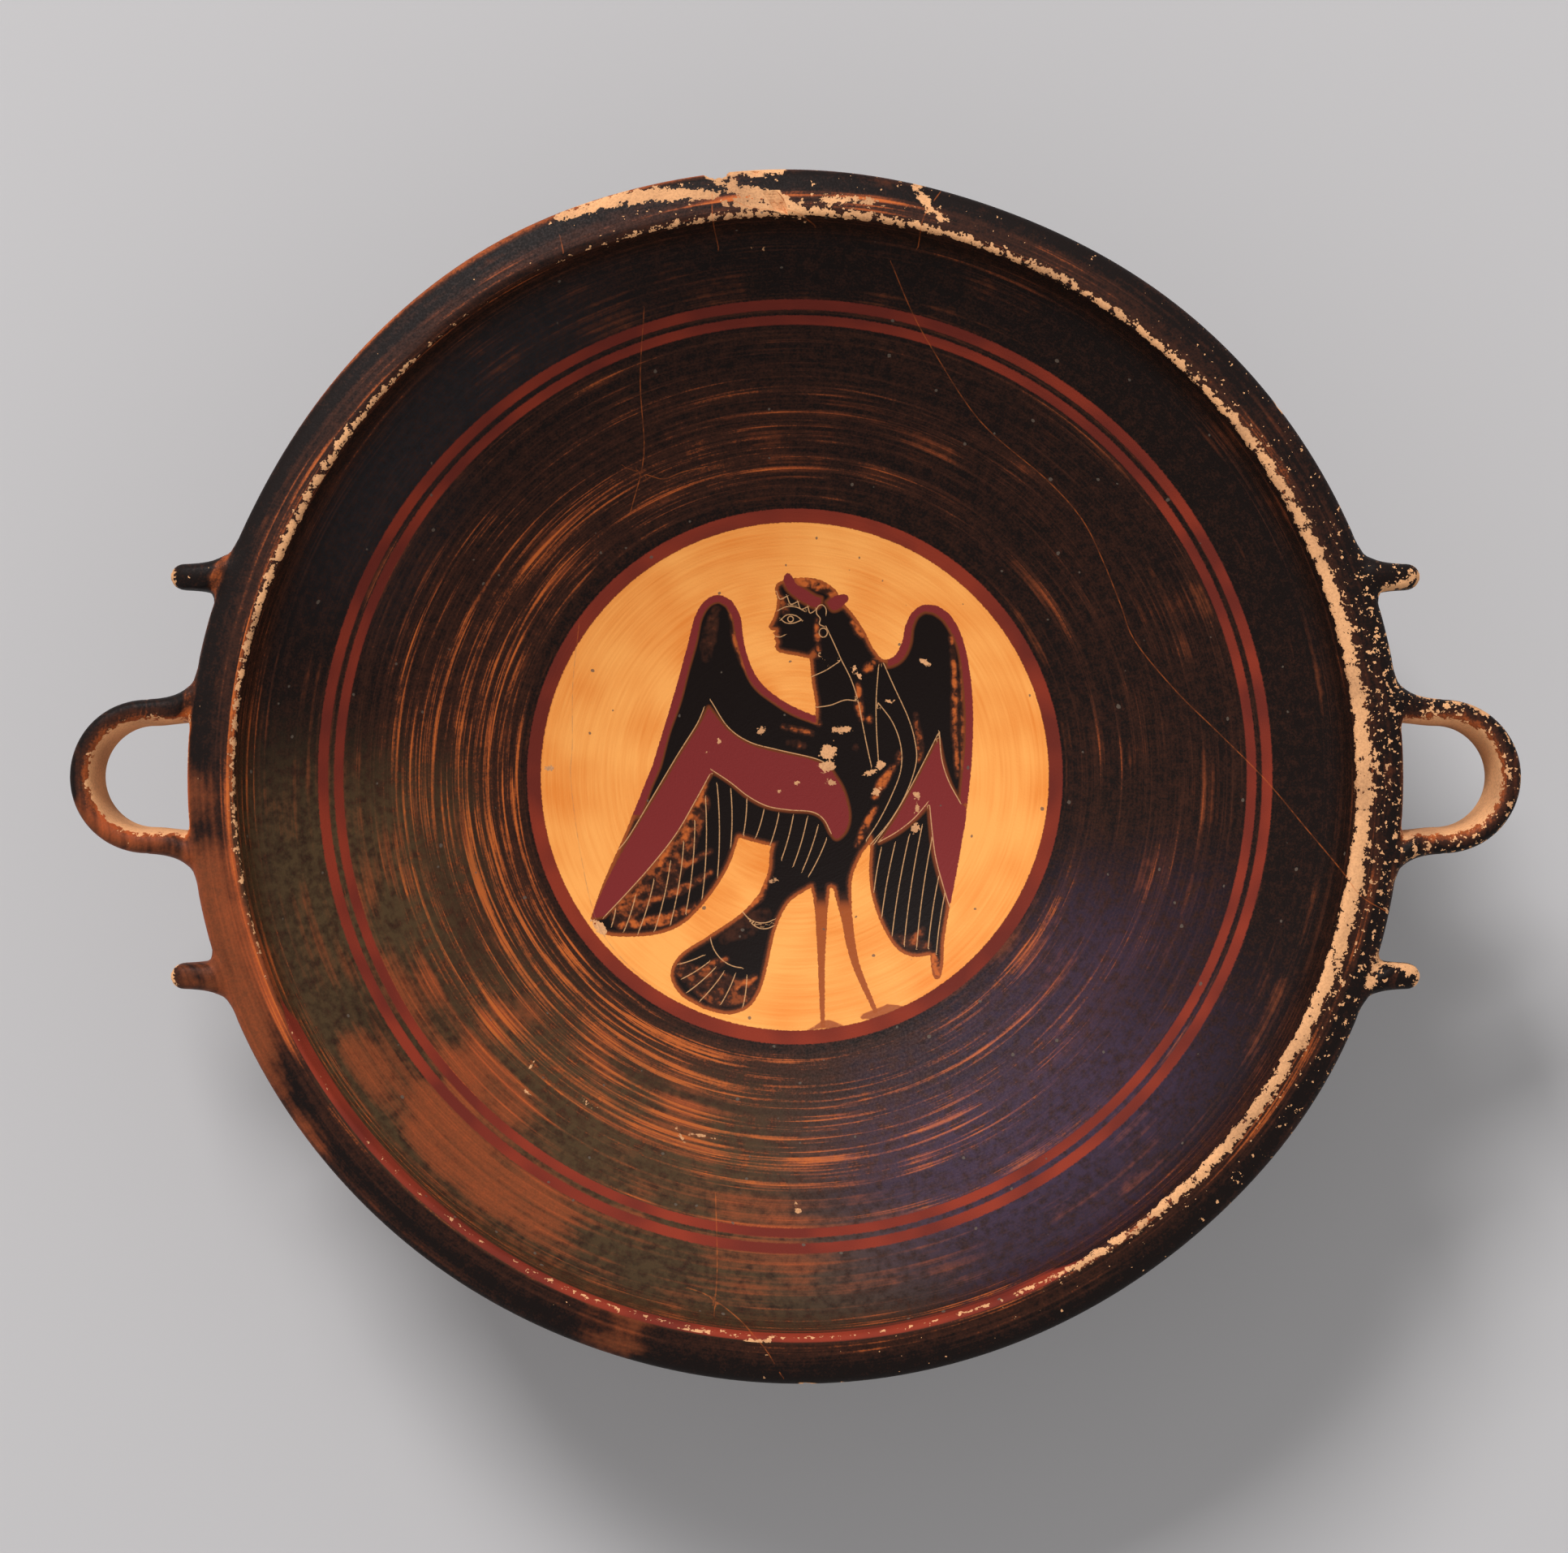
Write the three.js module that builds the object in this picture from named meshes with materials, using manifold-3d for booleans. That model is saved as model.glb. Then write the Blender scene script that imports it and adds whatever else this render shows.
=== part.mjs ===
// A Greek drinking cup (kylix) of fired clay: a wide shallow bowl with a broad rim, on a low flaring
// foot. Two ribbon handles loop out from the rim, with a short spur on each side of each handle.
// Bowl, foot, handles and spurs were joined while the clay was soft and fired as one piece, so the cup
// is one solid. Millimetres, +Z up. The origin is on the axis of the bowl, on the plane that the foot
// stands on. The handles lie along X.
import * as THREE from "three";
import { mergeVertices } from "three/addons/utils/BufferGeometryUtils.js";
import Module from "manifold-3d";

const { clamp, degToRad, lerp, radToDeg, smoothstep } = THREE.MathUtils;

// ---- driving dimensions -------------------------------------------------------------------------
const cupHeight = 98; // the rim's highest line above the table
const rimRadius = 150; // outer edge of the rim
const crestRadius = 137.8; // inner edge of the rim, its highest line
const rimDrop = 2.6; // how far the rim's top falls from the crest to its outer edge
const rimDepth = 9.5; // height of the rim's outer face
const lipHeight = 9.6; // from the crease inside the bowl up to the crest
const creaseRadius = 134; // where the bowl turns up into the lip
const floorHeight = 36; // inside floor of the bowl, on the axis
const floorThickness = 7;
const wallThickness = 5.6;
const bowlPower = 2.35; // how flat the bowl lies in the middle: 2 is a parabola, more is flatter

const footRadius = 60;
const footEdge = 5; // height of the foot's upright edge
const footRing = 10; // width of the flat ring that the cup stands on
const stemRadius = 31; // narrowest place between foot and bowl
const stemHeight = 24;
const hollowHeight = 21; // top of the hollow under the foot, on the axis

const turnSteps = 90; // facets round the axis
const bowlSteps = 9; // facets from the axis to the crease

const ribbonTop = 94.4; // upper edge of the handles and spurs
const ribbonHeight = 21.5;
const ribbonThickness = 6;
const edgeRound = 2.6; // rounding of the ribbon's edges
const handleReach = 179.8; // from the axis to the outermost point of a handle
const rootRise = 1.6; // how much higher the ribbons stand where they meet the rim
const loopRadius = 19.5; // outside of the handle's round end, seen from above
const loopLean = 0.09; // how much narrower the loop is along its lower edge
const rootHalf = 26; // half the width over both roots of a handle, where they spread into the rim
const rootStart = 127; // radius at which the roots begin, inside the bowl's wall
const spreadLength = 3.2; // distance over which a root narrows, out from the rim

const spurAside = 49.3; // from the handle's middle line to a spur's
const spurReach = 154; // from the plane of the axis to a spur's tip
const spurHalf = 3.1; // half a spur's thickness near its tip
const spurRoot = 7.5; // half its width where it spreads into the rim
const spurHeight = 15;
const spurTaper = 5; // how far its lower edge rises towards the tip
const spurBlunt = 0.72; // how much of its thickness is left at the very tip

// Where the soft rim was pressed in or out by hand: direction in degrees from +X, how far along the
// rim the press spreads, and how far it moves the rim's outer and inner edge.
const rimPresses = [
  { at: 70, spread: 16, outer: -1.2, inner: -0.3 },
  { at: 120, spread: 14, outer: 1.0, inner: 1.6 },
  { at: 153, spread: 11, outer: -0.7, inner: -0.8 },
  { at: 205, spread: 12, outer: 0.2, inner: 0.6 },
  { at: 252, spread: 18, outer: -0.5, inner: -0.5 },
  { at: 330, spread: 15, outer: 1.0, inner: 0.4 },
];

// Pieces broken out of the rim. Each is a wedge laid along the rim: its direction in degrees, the
// radius and height of its middle, its length, its size across the rim and down, its turn about Z
// against the rim, and its tilt, in degrees.
const rimChips = [
  { at: 97.5, radius: 150.9, height: 94, length: 9.5, across: 6.6, down: 18, turn: -14, tilt: 0 },
  { at: 93.9, radius: 151.4, height: 97.4, length: 11.5, across: 10, down: 5, turn: 4, tilt: -12 },
  { at: 92.2, radius: 142.6, height: 98.9, length: 5.5, across: 16, down: 4.6, turn: 36, tilt: -9 },
  { at: 271, radius: 150.6, height: 92, length: 3.6, across: 3.2, down: 12, turn: 20, tilt: 0 },
  { at: 37.5, radius: 150.7, height: 94.6, length: 6, across: 2.8, down: 7, turn: -8, tilt: 0 },
];

// ---- joins and cuts ------------------------------------------------------------------------------
const wasm = await Module();
wasm.setup();

function solidOf(geometry) {
  const bare = new THREE.BufferGeometry();
  bare.setAttribute("position", geometry.getAttribute("position"));
  if (geometry.index) bare.setIndex(geometry.index);
  const merged = mergeVertices(bare, 1e-3);
  const mesh = new wasm.Mesh({
    numProp: 3,
    vertProperties: merged.getAttribute("position").array,
    triVerts: new Uint32Array(merged.index.array),
  });
  return new wasm.Manifold(mesh);
}

function geometryOf(solid) {
  const mesh = solid.getMesh();
  const geometry = new THREE.BufferGeometry();
  geometry.setAttribute("position", new THREE.Float32BufferAttribute(mesh.vertProperties, 3));
  geometry.setIndex(new THREE.Uint32BufferAttribute(mesh.triVerts, 1));
  geometry.computeVertexNormals();
  return geometry;
}

// ---- bowl, rim and foot, turned on the wheel -----------------------------------------------------
const creaseHeight = cupHeight - lipHeight;
const crestHeight = cupHeight - 0.3; // where the crest's rounding meets the lip
const bowlDepth = creaseHeight - floorHeight;

// Inside of the bowl: its height above the table at a distance r from the axis.
const insideHeight = (r) => floorHeight + bowlDepth * (r / creaseRadius) ** bowlPower;

// Outside of the bowl: the inside's point at r, moved outwards through the wall.
function outsidePoint(r) {
  const slope = (bowlDepth * bowlPower * (r / creaseRadius) ** (bowlPower - 1)) / creaseRadius;
  const thickness = lerp(floorThickness, wallThickness, r / creaseRadius);
  const outwards = new THREE.Vector2(slope, -1).normalize().multiplyScalar(thickness);
  return new THREE.Vector2(r, insideHeight(r)).add(outwards);
}

// How far the hand-pressed rim is moved at a place. It grows from nothing inside the crease.
function pressedBy(radius, angle) {
  const grip = smoothstep(radius, creaseRadius - 8, crestRadius);
  const across = clamp((radius - crestRadius) / (rimRadius - crestRadius), 0, 1);
  let moved = 0;
  for (const { at, spread, outer, inner } of rimPresses) {
    const away = (((angle - at + 540) % 360) - 180) / spread;
    moved += Math.exp(-away * away) * lerp(inner, outer, across);
  }
  return grip * moved;
}

// Turns a profile of (radius, height) points about Z, then presses its rim.
function turned(profile) {
  const geometry = new THREE.LatheGeometry(profile, turnSteps);
  geometry.rotateX(Math.PI / 2);
  const position = geometry.getAttribute("position");
  for (let i = 0; i < position.count; i++) {
    const x = position.getX(i);
    const y = position.getY(i);
    const radius = Math.hypot(x, y);
    if (radius < 1) continue;
    const scale = 1 + pressedBy(radius, radToDeg(Math.atan2(y, x)) + 360) / radius;
    position.setXY(i, x * scale, y * scale);
  }
  return solidOf(geometry);
}

// From the top of the foot's hollow, round the ring it stands on, up to the narrow stem.
function footProfile() {
  const hollow = new THREE.Path();
  hollow.moveTo(0, hollowHeight);
  hollow.bezierCurveTo(22, hollowHeight, 34, 12, footRadius - footRing, 0);
  const flare = new THREE.Path();
  flare.moveTo(footRadius - 1, 0);
  flare.lineTo(footRadius, 1);
  flare.lineTo(footRadius, footEdge);
  flare.bezierCurveTo(44, footEdge + 4, stemRadius, 15, stemRadius, stemHeight);
  return [...hollow.getPoints(4), ...flare.getPoints(4)];
}

// The rim: its underside, its outer face and its sloping top, inwards to the crest.
function rimProfile() {
  const under = cupHeight - rimDrop - rimDepth;
  const edgeTop = cupHeight - rimDrop;
  const rim = new THREE.Path();
  rim.moveTo(rimRadius - 9.5, under - 1.6);
  rim.quadraticCurveTo(rimRadius - 7.5, under, rimRadius - 2.6, under + 0.4);
  rim.lineTo(rimRadius - 0.5, under + 2.6);
  rim.lineTo(rimRadius, edgeTop - 2.6);
  rim.quadraticCurveTo(rimRadius, edgeTop - 0.2, rimRadius - 2.4, edgeTop + 0.5);
  rim.quadraticCurveTo(rimRadius - 6, cupHeight - 0.7, crestRadius + 0.8, cupHeight);
  rim.lineTo(crestRadius, crestHeight);
  return rim.getPoints(2);
}

// Everything outside the bowl's hollow, which is still filled up to the crest.
function outerBody() {
  const wall = [];
  const steps = bowlSteps + 1;
  for (let i = 3; i < steps; i++) wall.push(outsidePoint((creaseRadius * i) / steps));
  const lid = [new THREE.Vector2(crestRadius - 6, crestHeight), new THREE.Vector2(0, crestHeight)];
  return turned([...footProfile(), ...wall, ...rimProfile(), ...lid]);
}

// The space inside the bowl, up past the crest.
function cavity() {
  const above = cupHeight + 4;
  const bowl = [];
  for (let i = 0; i < bowlSteps; i++) {
    const r = (creaseRadius * i) / bowlSteps;
    bowl.push(new THREE.Vector2(r, insideHeight(r)));
  }
  const lip = new THREE.Path();
  lip.moveTo(creaseRadius, creaseHeight);
  lip.quadraticCurveTo(crestRadius - 1.2, creaseHeight + 3, crestRadius, crestHeight);
  lip.lineTo(crestRadius, above);
  lip.lineTo(0, above);
  return turned([...bowl, ...lip.getPoints(2)]);
}

// ---- handles and spurs ---------------------------------------------------------------------------
// One cross-section of a ribbon that stands on edge: a rounded rectangle in the upright plane through
// the plan points left and right, from height low up to high. The ribbon runs on with left on its left.
function section({ left, right, low, high }) {
  const width = left.distanceTo(right);
  const round = Math.min(edgeRound, 0.46 * width, 0.46 * (high - low));
  const corners = [
    { across: width - round, up: low + round, from: -90 },
    { across: width - round, up: high - round, from: 0 },
    { across: round, up: high - round, from: 90 },
    { across: round, up: low + round, from: 180 },
  ];
  const points = [];
  for (const { across, up, from } of corners) {
    for (const step of [0, 45, 90]) {
      const angle = degToRad(from + step);
      const plan = left.clone().lerp(right, (across + round * Math.cos(angle)) / width);
      points.push([plan.x, plan.y, up + round * Math.sin(angle)]);
    }
  }
  return points;
}

// A closed body through a row of cross-sections.
function lofted(sections) {
  const rings = sections.map(section);
  const count = rings[0].length;
  const faces = [];
  for (let i = 1; i < rings.length; i++) {
    for (let j = 0; j < count; j++) {
      const k = (j + 1) % count;
      const [a, b, c, d] = [(i - 1) * count + j, (i - 1) * count + k, i * count + k, i * count + j];
      faces.push(a, d, c, a, c, b);
    }
  }
  const last = (rings.length - 1) * count;
  for (let j = 2; j < count; j++) faces.push(0, j - 1, j, last, last + j, last + j - 1);
  const geometry = new THREE.BufferGeometry();
  geometry.setAttribute("position", new THREE.Float32BufferAttribute(rings.flat(2), 3));
  geometry.setIndex(faces);
  return geometry;
}

// How much of a root's spread is left at a distance out from the rim's edge.
const spreadAt = (out) => Math.exp(-Math.max(out + 2.5, 0) / spreadLength);

// How far the upper edge of a ribbon has risen towards the rim's top, at a distance x along the cup.
const riseAt = (x) => rootRise * (1 - smoothstep(x, rimRadius - 4, rimRadius + 8));

// The handle on the +X side: a ribbon bent to a loop, from its root at +Y round to its root at -Y.
function handle() {
  const middle = handleReach - loopRadius;
  const innerRadius = loopRadius - ribbonThickness;
  const half = [];
  for (const x of [rootStart, 140, 147.5, 149.5, 151.5, 154, 156.5]) {
    const outerHalf = loopRadius + (rootHalf - loopRadius) * spreadAt(x - rimRadius);
    half.push({ outer: [x, outerHalf], inner: [x, innerRadius] });
  }
  for (const angle of [90, 72, 54, 36, 18].map(degToRad)) {
    const [across, aside] = [Math.cos(angle), Math.sin(angle)];
    half.push({
      outer: [middle + loopRadius * across, loopRadius * aside],
      inner: [middle + innerRadius * across, innerRadius * aside],
    });
  }
  const end = { outer: [middle + loopRadius, 0], inner: [middle + innerRadius, 0] };
  const other = half.map(({ outer: [x, y], inner: [u, v] }) => ({ outer: [x, -y], inner: [u, -v] }));
  const sections = [...half, end, ...other.reverse()].map(({ outer, inner }) => ({
    left: new THREE.Vector2(...outer),
    right: new THREE.Vector2(...inner),
    low: ribbonTop - ribbonHeight,
    high: ribbonTop + riseAt(outer[0]),
  }));
  return leaned(lofted(sections), middle);
}

// Draws the lower edge of a handle's loop in towards the loop's middle.
function leaned(geometry, middle) {
  const position = geometry.getAttribute("position");
  for (let i = 0; i < position.count; i++) {
    const [x, y, z] = [position.getX(i), position.getY(i), position.getZ(i)];
    const free = smoothstep(x, rimRadius - 2, middle);
    const lean = (free * loopLean * (ribbonTop - z)) / ribbonHeight;
    position.setXY(i, x - (x - middle) * lean, y * (1 - lean));
  }
  return geometry;
}

// A spur on the +X side, side 1 at +Y and -1 at -Y: blunt, and narrowing outwards from the rim.
function spur(side) {
  const middle = side * spurAside;
  const edge = Math.sqrt(rimRadius ** 2 - spurAside ** 2); // the rim's outer edge beside the spur
  const length = spurReach - edge;
  const sections = [-22, -8, -2.5, -0.5, 1.5, 4.5, 8.5, length - 1.2, length].map((out) => {
    const full = out === length ? spurBlunt : 1;
    const half = full * (spurHalf + (spurRoot - spurHalf) * spreadAt(out));
    const shrink = (1 - full) * spurHalf;
    const rise = spurTaper * smoothstep(out, -2, length);
    return {
      left: new THREE.Vector2(edge + out, middle + half),
      right: new THREE.Vector2(edge + out, middle - half),
      low: ribbonTop - spurHeight + rise + shrink,
      high: ribbonTop + riseAt(edge + out + 2) - shrink,
    };
  });
  return lofted(sections);
}

// ---- breaks --------------------------------------------------------------------------------------
// A wedge that breaks a piece out of the rim: a six-sided prism lying along it, narrower downwards.
function chip({ at, radius, height, length, across, down, turn, tilt }) {
  const geometry = new THREE.CylinderGeometry(1, 0.62, 1, 6);
  geometry.rotateX(Math.PI / 2);
  geometry.scale(across / 2, length / 2, down);
  geometry.rotateY(degToRad(tilt));
  geometry.rotateZ(degToRad(turn));
  geometry.translate(radius, 0, height);
  geometry.rotateZ(degToRad(at));
  return geometry;
}

// ---- the whole cup -------------------------------------------------------------------------------
let cup = outerBody();
for (const end of [0, Math.PI]) {
  for (const fitting of [handle(), spur(1), spur(-1)]) cup = cup.add(solidOf(fitting.rotateZ(end)));
}
cup = cup.subtract(cavity());
for (const broken of rimChips) cup = cup.subtract(solidOf(chip(broken)));

const glazedClay = new THREE.MeshStandardMaterial({
  name: "black_glazed_clay",
  color: 0x241a16,
  roughness: 0.45,
  metalness: 0,
});

const kylix = new THREE.Mesh(geometryOf(cup), glazedClay);
kylix.name = "kylix";

const model = new THREE.Group();
model.add(kylix);

export default model;
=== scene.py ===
import math

import bpy
import numpy as np
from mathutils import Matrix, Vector


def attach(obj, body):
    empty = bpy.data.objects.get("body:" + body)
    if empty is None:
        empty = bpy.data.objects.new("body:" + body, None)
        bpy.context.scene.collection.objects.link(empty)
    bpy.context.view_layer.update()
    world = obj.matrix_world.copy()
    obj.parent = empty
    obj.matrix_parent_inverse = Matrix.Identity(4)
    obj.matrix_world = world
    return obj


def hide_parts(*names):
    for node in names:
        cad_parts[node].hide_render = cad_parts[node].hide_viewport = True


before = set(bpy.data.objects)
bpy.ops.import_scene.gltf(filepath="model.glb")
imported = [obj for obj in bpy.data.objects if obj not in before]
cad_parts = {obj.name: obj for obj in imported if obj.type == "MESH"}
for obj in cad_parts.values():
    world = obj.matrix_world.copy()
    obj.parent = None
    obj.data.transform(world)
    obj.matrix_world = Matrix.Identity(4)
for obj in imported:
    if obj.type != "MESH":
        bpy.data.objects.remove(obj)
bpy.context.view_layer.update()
print("frame loaded")

mm = 0.001
far = {"out": -9.0, "line": 9.0}  # stand for far outside a shape and far from a line, in millimetres


def blend(low, high, value):
    # 0 below low, 1 above high, and a smooth s-shaped step between them
    share = np.clip((value - low) / (high - low), 0, 1)
    return share * share * (3 - 2 * share)


def bezier(points, count):
    # a Bezier curve of any degree: each point weighted by its Bernstein polynomial
    points = np.array(points, float)
    degree = len(points) - 1
    t = np.linspace(0, 1, count)[:, None]
    return sum(math.comb(degree, k) * t**k * (1 - t) ** (degree - k) * points[k] for k in range(degree + 1))


def smoothLine(points, perSpan=8):
    # a Catmull-Rom curve: it passes through each point, heading along the line between its neighbours
    points = np.array(points, float)
    padded = np.vstack([2 * points[0] - points[1], points, 2 * points[-1] - points[-2]])
    t = (np.arange(perSpan) / perSpan)[None, :, None]
    a, b, c, d = (padded[k : k + len(points) - 1][:, None, :] for k in range(4))
    spans = 0.5 * (2 * b + (c - a) * t + (2 * a - 5 * b + 4 * c - d) * t**2 + (3 * b - a - 3 * c + d) * t**3)
    return np.vstack([spans.reshape(-1, points.shape[1]), points[-1:]])


def evenly(line, spacing):
    # points along a line, apart by the spacing that is given at each of its own points
    step = np.linalg.norm(np.diff(line, axis=0), axis=1)
    pace = step / (0.5 * (spacing[1:] + spacing[:-1]))
    along = np.concatenate([[0], np.cumsum(pace)])
    wanted = np.linspace(0, along[-1], max(2, int(round(along[-1]))) + 1)
    return np.stack([np.interp(wanted, along, line[:, k]) for k in range(line.shape[1])], axis=1)


def meshObject(name, vertices, faces):
    # a mesh object from arrays: places in millimetres, and triangles
    mesh = bpy.data.meshes.new(name)
    mesh.from_pydata((np.asarray(vertices) * mm).tolist(), [], faces.tolist())
    mesh.validate()
    piece = bpy.data.objects.new(name, mesh)
    bpy.context.scene.collection.objects.link(piece)
    return piece


def placesOf(piece):
    # the places of all vertices of a piece, in millimetres
    places = np.zeros(len(piece.data.vertices) * 3)
    piece.data.vertices.foreach_get("co", places)
    return places.reshape(-1, 3) / mm


def gridFaces(rows, columns, closed):
    # two triangles for each cell of a grid of rows and columns, the columns closing on themselves or not
    across = columns if closed else columns - 1
    i, j = np.meshgrid(np.arange(rows - 1), np.arange(across), indexing="ij")
    a = i * columns + j
    b = i * columns + (j + 1) % columns
    c = b + columns
    d = a + columns
    return np.vstack([np.stack([a, b, c], -1).reshape(-1, 3), np.stack([a, c, d], -1).reshape(-1, 3)])


view = {
    "height": 1.098,  # of the lens over the floor, in metres
    "aside": -0.0028,  # the view's middle, from the cup's axis
    "width": 0.3849,  # what the view takes in across, at the rim
}

camera = bpy.data.objects.new("camera", bpy.data.cameras.new("camera"))
camera.data.sensor_width = 36
camera.data.lens = 36 * (view["height"] - 0.098) / view["width"]
camera.location = (view["aside"], 0, view["height"])
bpy.context.scene.collection.objects.link(camera)
bpy.context.scene.camera = camera

light = {
    "towards": (-0.42, 0.93, 1.02),  # from the cup to the key light
    "distance": 6.0,
    "size": 1.75,
    "power": 306.0,
    "colour": (1.0, 0.992, 0.99),
    "zenith": 0.3,  # how bright the studio is straight above, and low down all round
    "horizon": 1.08,
    "floor": "#bbb9ba",
}


def addLight(name, place, size, power, colour):
    # a square soft light at a place, facing the cup
    lamp = bpy.data.objects.new(name, bpy.data.lights.new(name, "AREA"))
    lamp.data.size = size
    lamp.data.energy = power
    lamp.data.color = colour
    lamp.location = place
    lamp.rotation_mode = "QUATERNION"
    lamp.rotation_quaternion = Vector(place).to_track_quat("Z", "Y")
    bpy.context.scene.collection.objects.link(lamp)


towards = np.array(light["towards"]) / np.linalg.norm(light["towards"])
addLight("keyLight", tuple(towards * light["distance"]), light["size"], light["power"], light["colour"])


def linear(hexColour):
    # an sRGB hex colour as linear red, green, blue and full alpha
    srgb = np.array([int(hexColour[k : k + 2], 16) for k in (1, 3, 5)]) / 255
    parts = np.where(srgb <= 0.04045, srgb / 12.92, ((srgb + 0.055) / 1.055) ** 2.4)
    return (*parts.tolist(), 1.0)


def addNode(tree, kind, inputs=None, output=0, stops=None, **settings):
    # one node with its settings, its ramp stops, and a value or a link for each named or numbered input;
    # gives back the output that is asked for
    node = tree.nodes.new("ShaderNode" + kind)
    for key, value in settings.items():
        setattr(node, key, value)
    for key, value in (inputs or {}).items():
        if isinstance(value, bpy.types.NodeSocket):
            tree.links.new(value, node.inputs[key])
        else:
            node.inputs[key].default_value = value
    if stops:
        while len(node.color_ramp.elements) < len(stops):
            node.color_ramp.elements.new(0.5)
        for element, (place, colour) in zip(node.color_ramp.elements, stops):
            element.position = place
            element.color = colour
    return node.outputs[output]


world = bpy.data.worlds.new("studio")
world.use_nodes = True
bpy.context.scene.world = world
bpy.context.scene.view_settings.view_transform = "Standard"
upwards = addNode(world.node_tree, "SeparateXYZ", {0: addNode(world.node_tree, "TexCoord")}, output="Z")
brightness = addNode(world.node_tree, "MapRange", {0: upwards, 3: light["horizon"], 4: light["zenith"]})
world.node_tree.links.new(brightness, world.node_tree.nodes["Background"].inputs["Strength"])
world.node_tree.nodes["Background"].inputs["Color"].default_value = (1, 1, 1, 1)

floorSize = 8.0
floorMesh = bpy.data.meshes.new("floor")
half = floorSize / 2
corners = [(-half, -half, 0), (half, -half, 0), (half, half, 0), (-half, half, 0)]
floorMesh.from_pydata(corners, [], [(0, 1, 2, 3)])
floor = bpy.data.objects.new("floor", floorMesh)
bpy.context.scene.collection.objects.link(floor)
paper = bpy.data.materials.new("paleStudioPaper")
paper.use_nodes = True
paperShader = paper.node_tree.nodes["Principled BSDF"]
paperShader.inputs["Base Color"].default_value = linear(light["floor"])
paperShader.inputs["Roughness"].default_value = 0.9
floorMesh.materials.append(paper)
print("camera, floor and light placed")

cup = {  # millimetres, as the solid's
    "height": 98.0,  # the rim's highest line above the table
    "rimRadius": 150.0,  # outer edge of the rim
    "crestRadius": 137.8,  # inner edge of the rim, its highest line
    "rimDrop": 2.6,  # how far the rim's top falls to its outer edge
    "rimDepth": 9.5,  # height of the rim's outer face
    "lipHeight": 9.6,  # from the crease inside the bowl up to the crest
    "creaseRadius": 134.0,
    "floorHeight": 36.0,
    "floorThickness": 7.0,
    "wallThickness": 5.6,
    "bowlPower": 2.35,
    "footRadius": 60.0,
    "footEdge": 5.0,
    "footRing": 10.0,
    "stemRadius": 31.0,
    "stemHeight": 24.0,
    "hollowHeight": 21.0,
    "capRadius": 71.0,  # within it the mesh is a square net, outside it rings
    "capCells": 144,
    "ringSpacing": 2.0,
    "rimSpacing": 1.1,
}
creaseHeight = cup["height"] - cup["lipHeight"]
bowlDepth = creaseHeight - cup["floorHeight"]

# where the soft rim was pressed: direction in degrees, spread along the rim, and how far it moves
# the rim's outer and inner edge
rimPresses = [
    (70, 16, -1.2, -0.3),
    (120, 14, 1.0, 1.6),
    (153, 11, -0.7, -0.8),
    (205, 12, 0.2, 0.6),
    (252, 18, -0.5, -0.5),
    (330, 15, 1.0, 0.4),
]


def insideHeight(r):
    # the bowl's floor rises with a power of the distance from the axis
    return cup["floorHeight"] + bowlDepth * (r / cup["creaseRadius"]) ** cup["bowlPower"]


def outsideWall(r):
    # the inside's point at r, moved outwards along its normal by the wall's thickness
    share = r / cup["creaseRadius"]
    slope = bowlDepth * cup["bowlPower"] * share ** (cup["bowlPower"] - 1) / cup["creaseRadius"]
    thick = cup["floorThickness"] + (cup["wallThickness"] - cup["floorThickness"]) * share
    length = np.hypot(slope, 1)
    return np.stack([r + thick * slope / length, insideHeight(r) - thick / length], -1)


def pressed(places):
    # the rim moved in or out near each press, by a bell curve along it, fading to nothing below the crease
    x, y = places[:, 0], places[:, 1]
    radius = np.maximum(np.hypot(x, y), 1e-6)
    degrees = np.degrees(np.arctan2(y, x))
    grip = blend(cup["creaseRadius"] - 8, cup["crestRadius"], radius)
    across = np.clip((radius - cup["crestRadius"]) / (cup["rimRadius"] - cup["crestRadius"]), 0, 1)
    moved = np.zeros_like(radius)
    for at, spread, outer, inner in rimPresses:
        away = ((degrees - at + 540) % 360 - 180) / spread
        moved += np.exp(-away * away) * (inner + (outer - inner) * across)
    scale = 1 + grip * moved / radius
    return np.stack([x * scale, y * scale, places[:, 2]], -1)


def upperProfile():
    # inside of the bowl from the square net's edge to the crease, the lip, and over the rim to its
    # underside, as (radius, height) with the spacing wanted there
    h, rim, crest, crease = cup["height"], cup["rimRadius"], cup["crestRadius"], cup["creaseRadius"]
    edgeTop = h - cup["rimDrop"]
    under = edgeTop - cup["rimDepth"]
    r = np.linspace(cup["capRadius"], crease - 1.2, 400)
    bowl = np.stack([r, insideHeight(r)], -1)
    lipFoot = (crease + 1.5, creaseHeight + 2.2)
    parts = [
        bowl,
        bezier([bowl[-1], (crease + 0.1, creaseHeight + 0.1), lipFoot], 30),
        bezier([lipFoot, (crest - 0.9, creaseHeight + 5), (crest - 0.1, h - 1.4)], 60),
        bezier([(crest - 0.1, h - 1.4), (crest + 0.1, h), (crest + 1.6, h - 0.05)], 30),
        bezier([(crest + 1.6, h - 0.05), (rim - 6.5, h - 0.75), (rim - 2.8, edgeTop + 0.45)], 80),
        bezier([(rim - 2.8, edgeTop + 0.45), (rim, edgeTop), (rim, edgeTop - 2.8)], 40),
        bezier([(rim, edgeTop - 2.8), (rim - 0.1, under + 4), (rim - 0.5, under + 2.8)], 30),
        bezier([(rim - 0.5, under + 2.8), (rim - 0.8, under + 0.7), (rim - 3, under + 0.4)], 30),
    ]
    spacing = [cup["ringSpacing"]] + [cup["rimSpacing"]] * (len(parts) - 1)
    wanted = np.concatenate([np.full(len(p), s) for p, s in zip(parts, spacing)])
    return evenly(np.vstack(parts), wanted)


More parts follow.
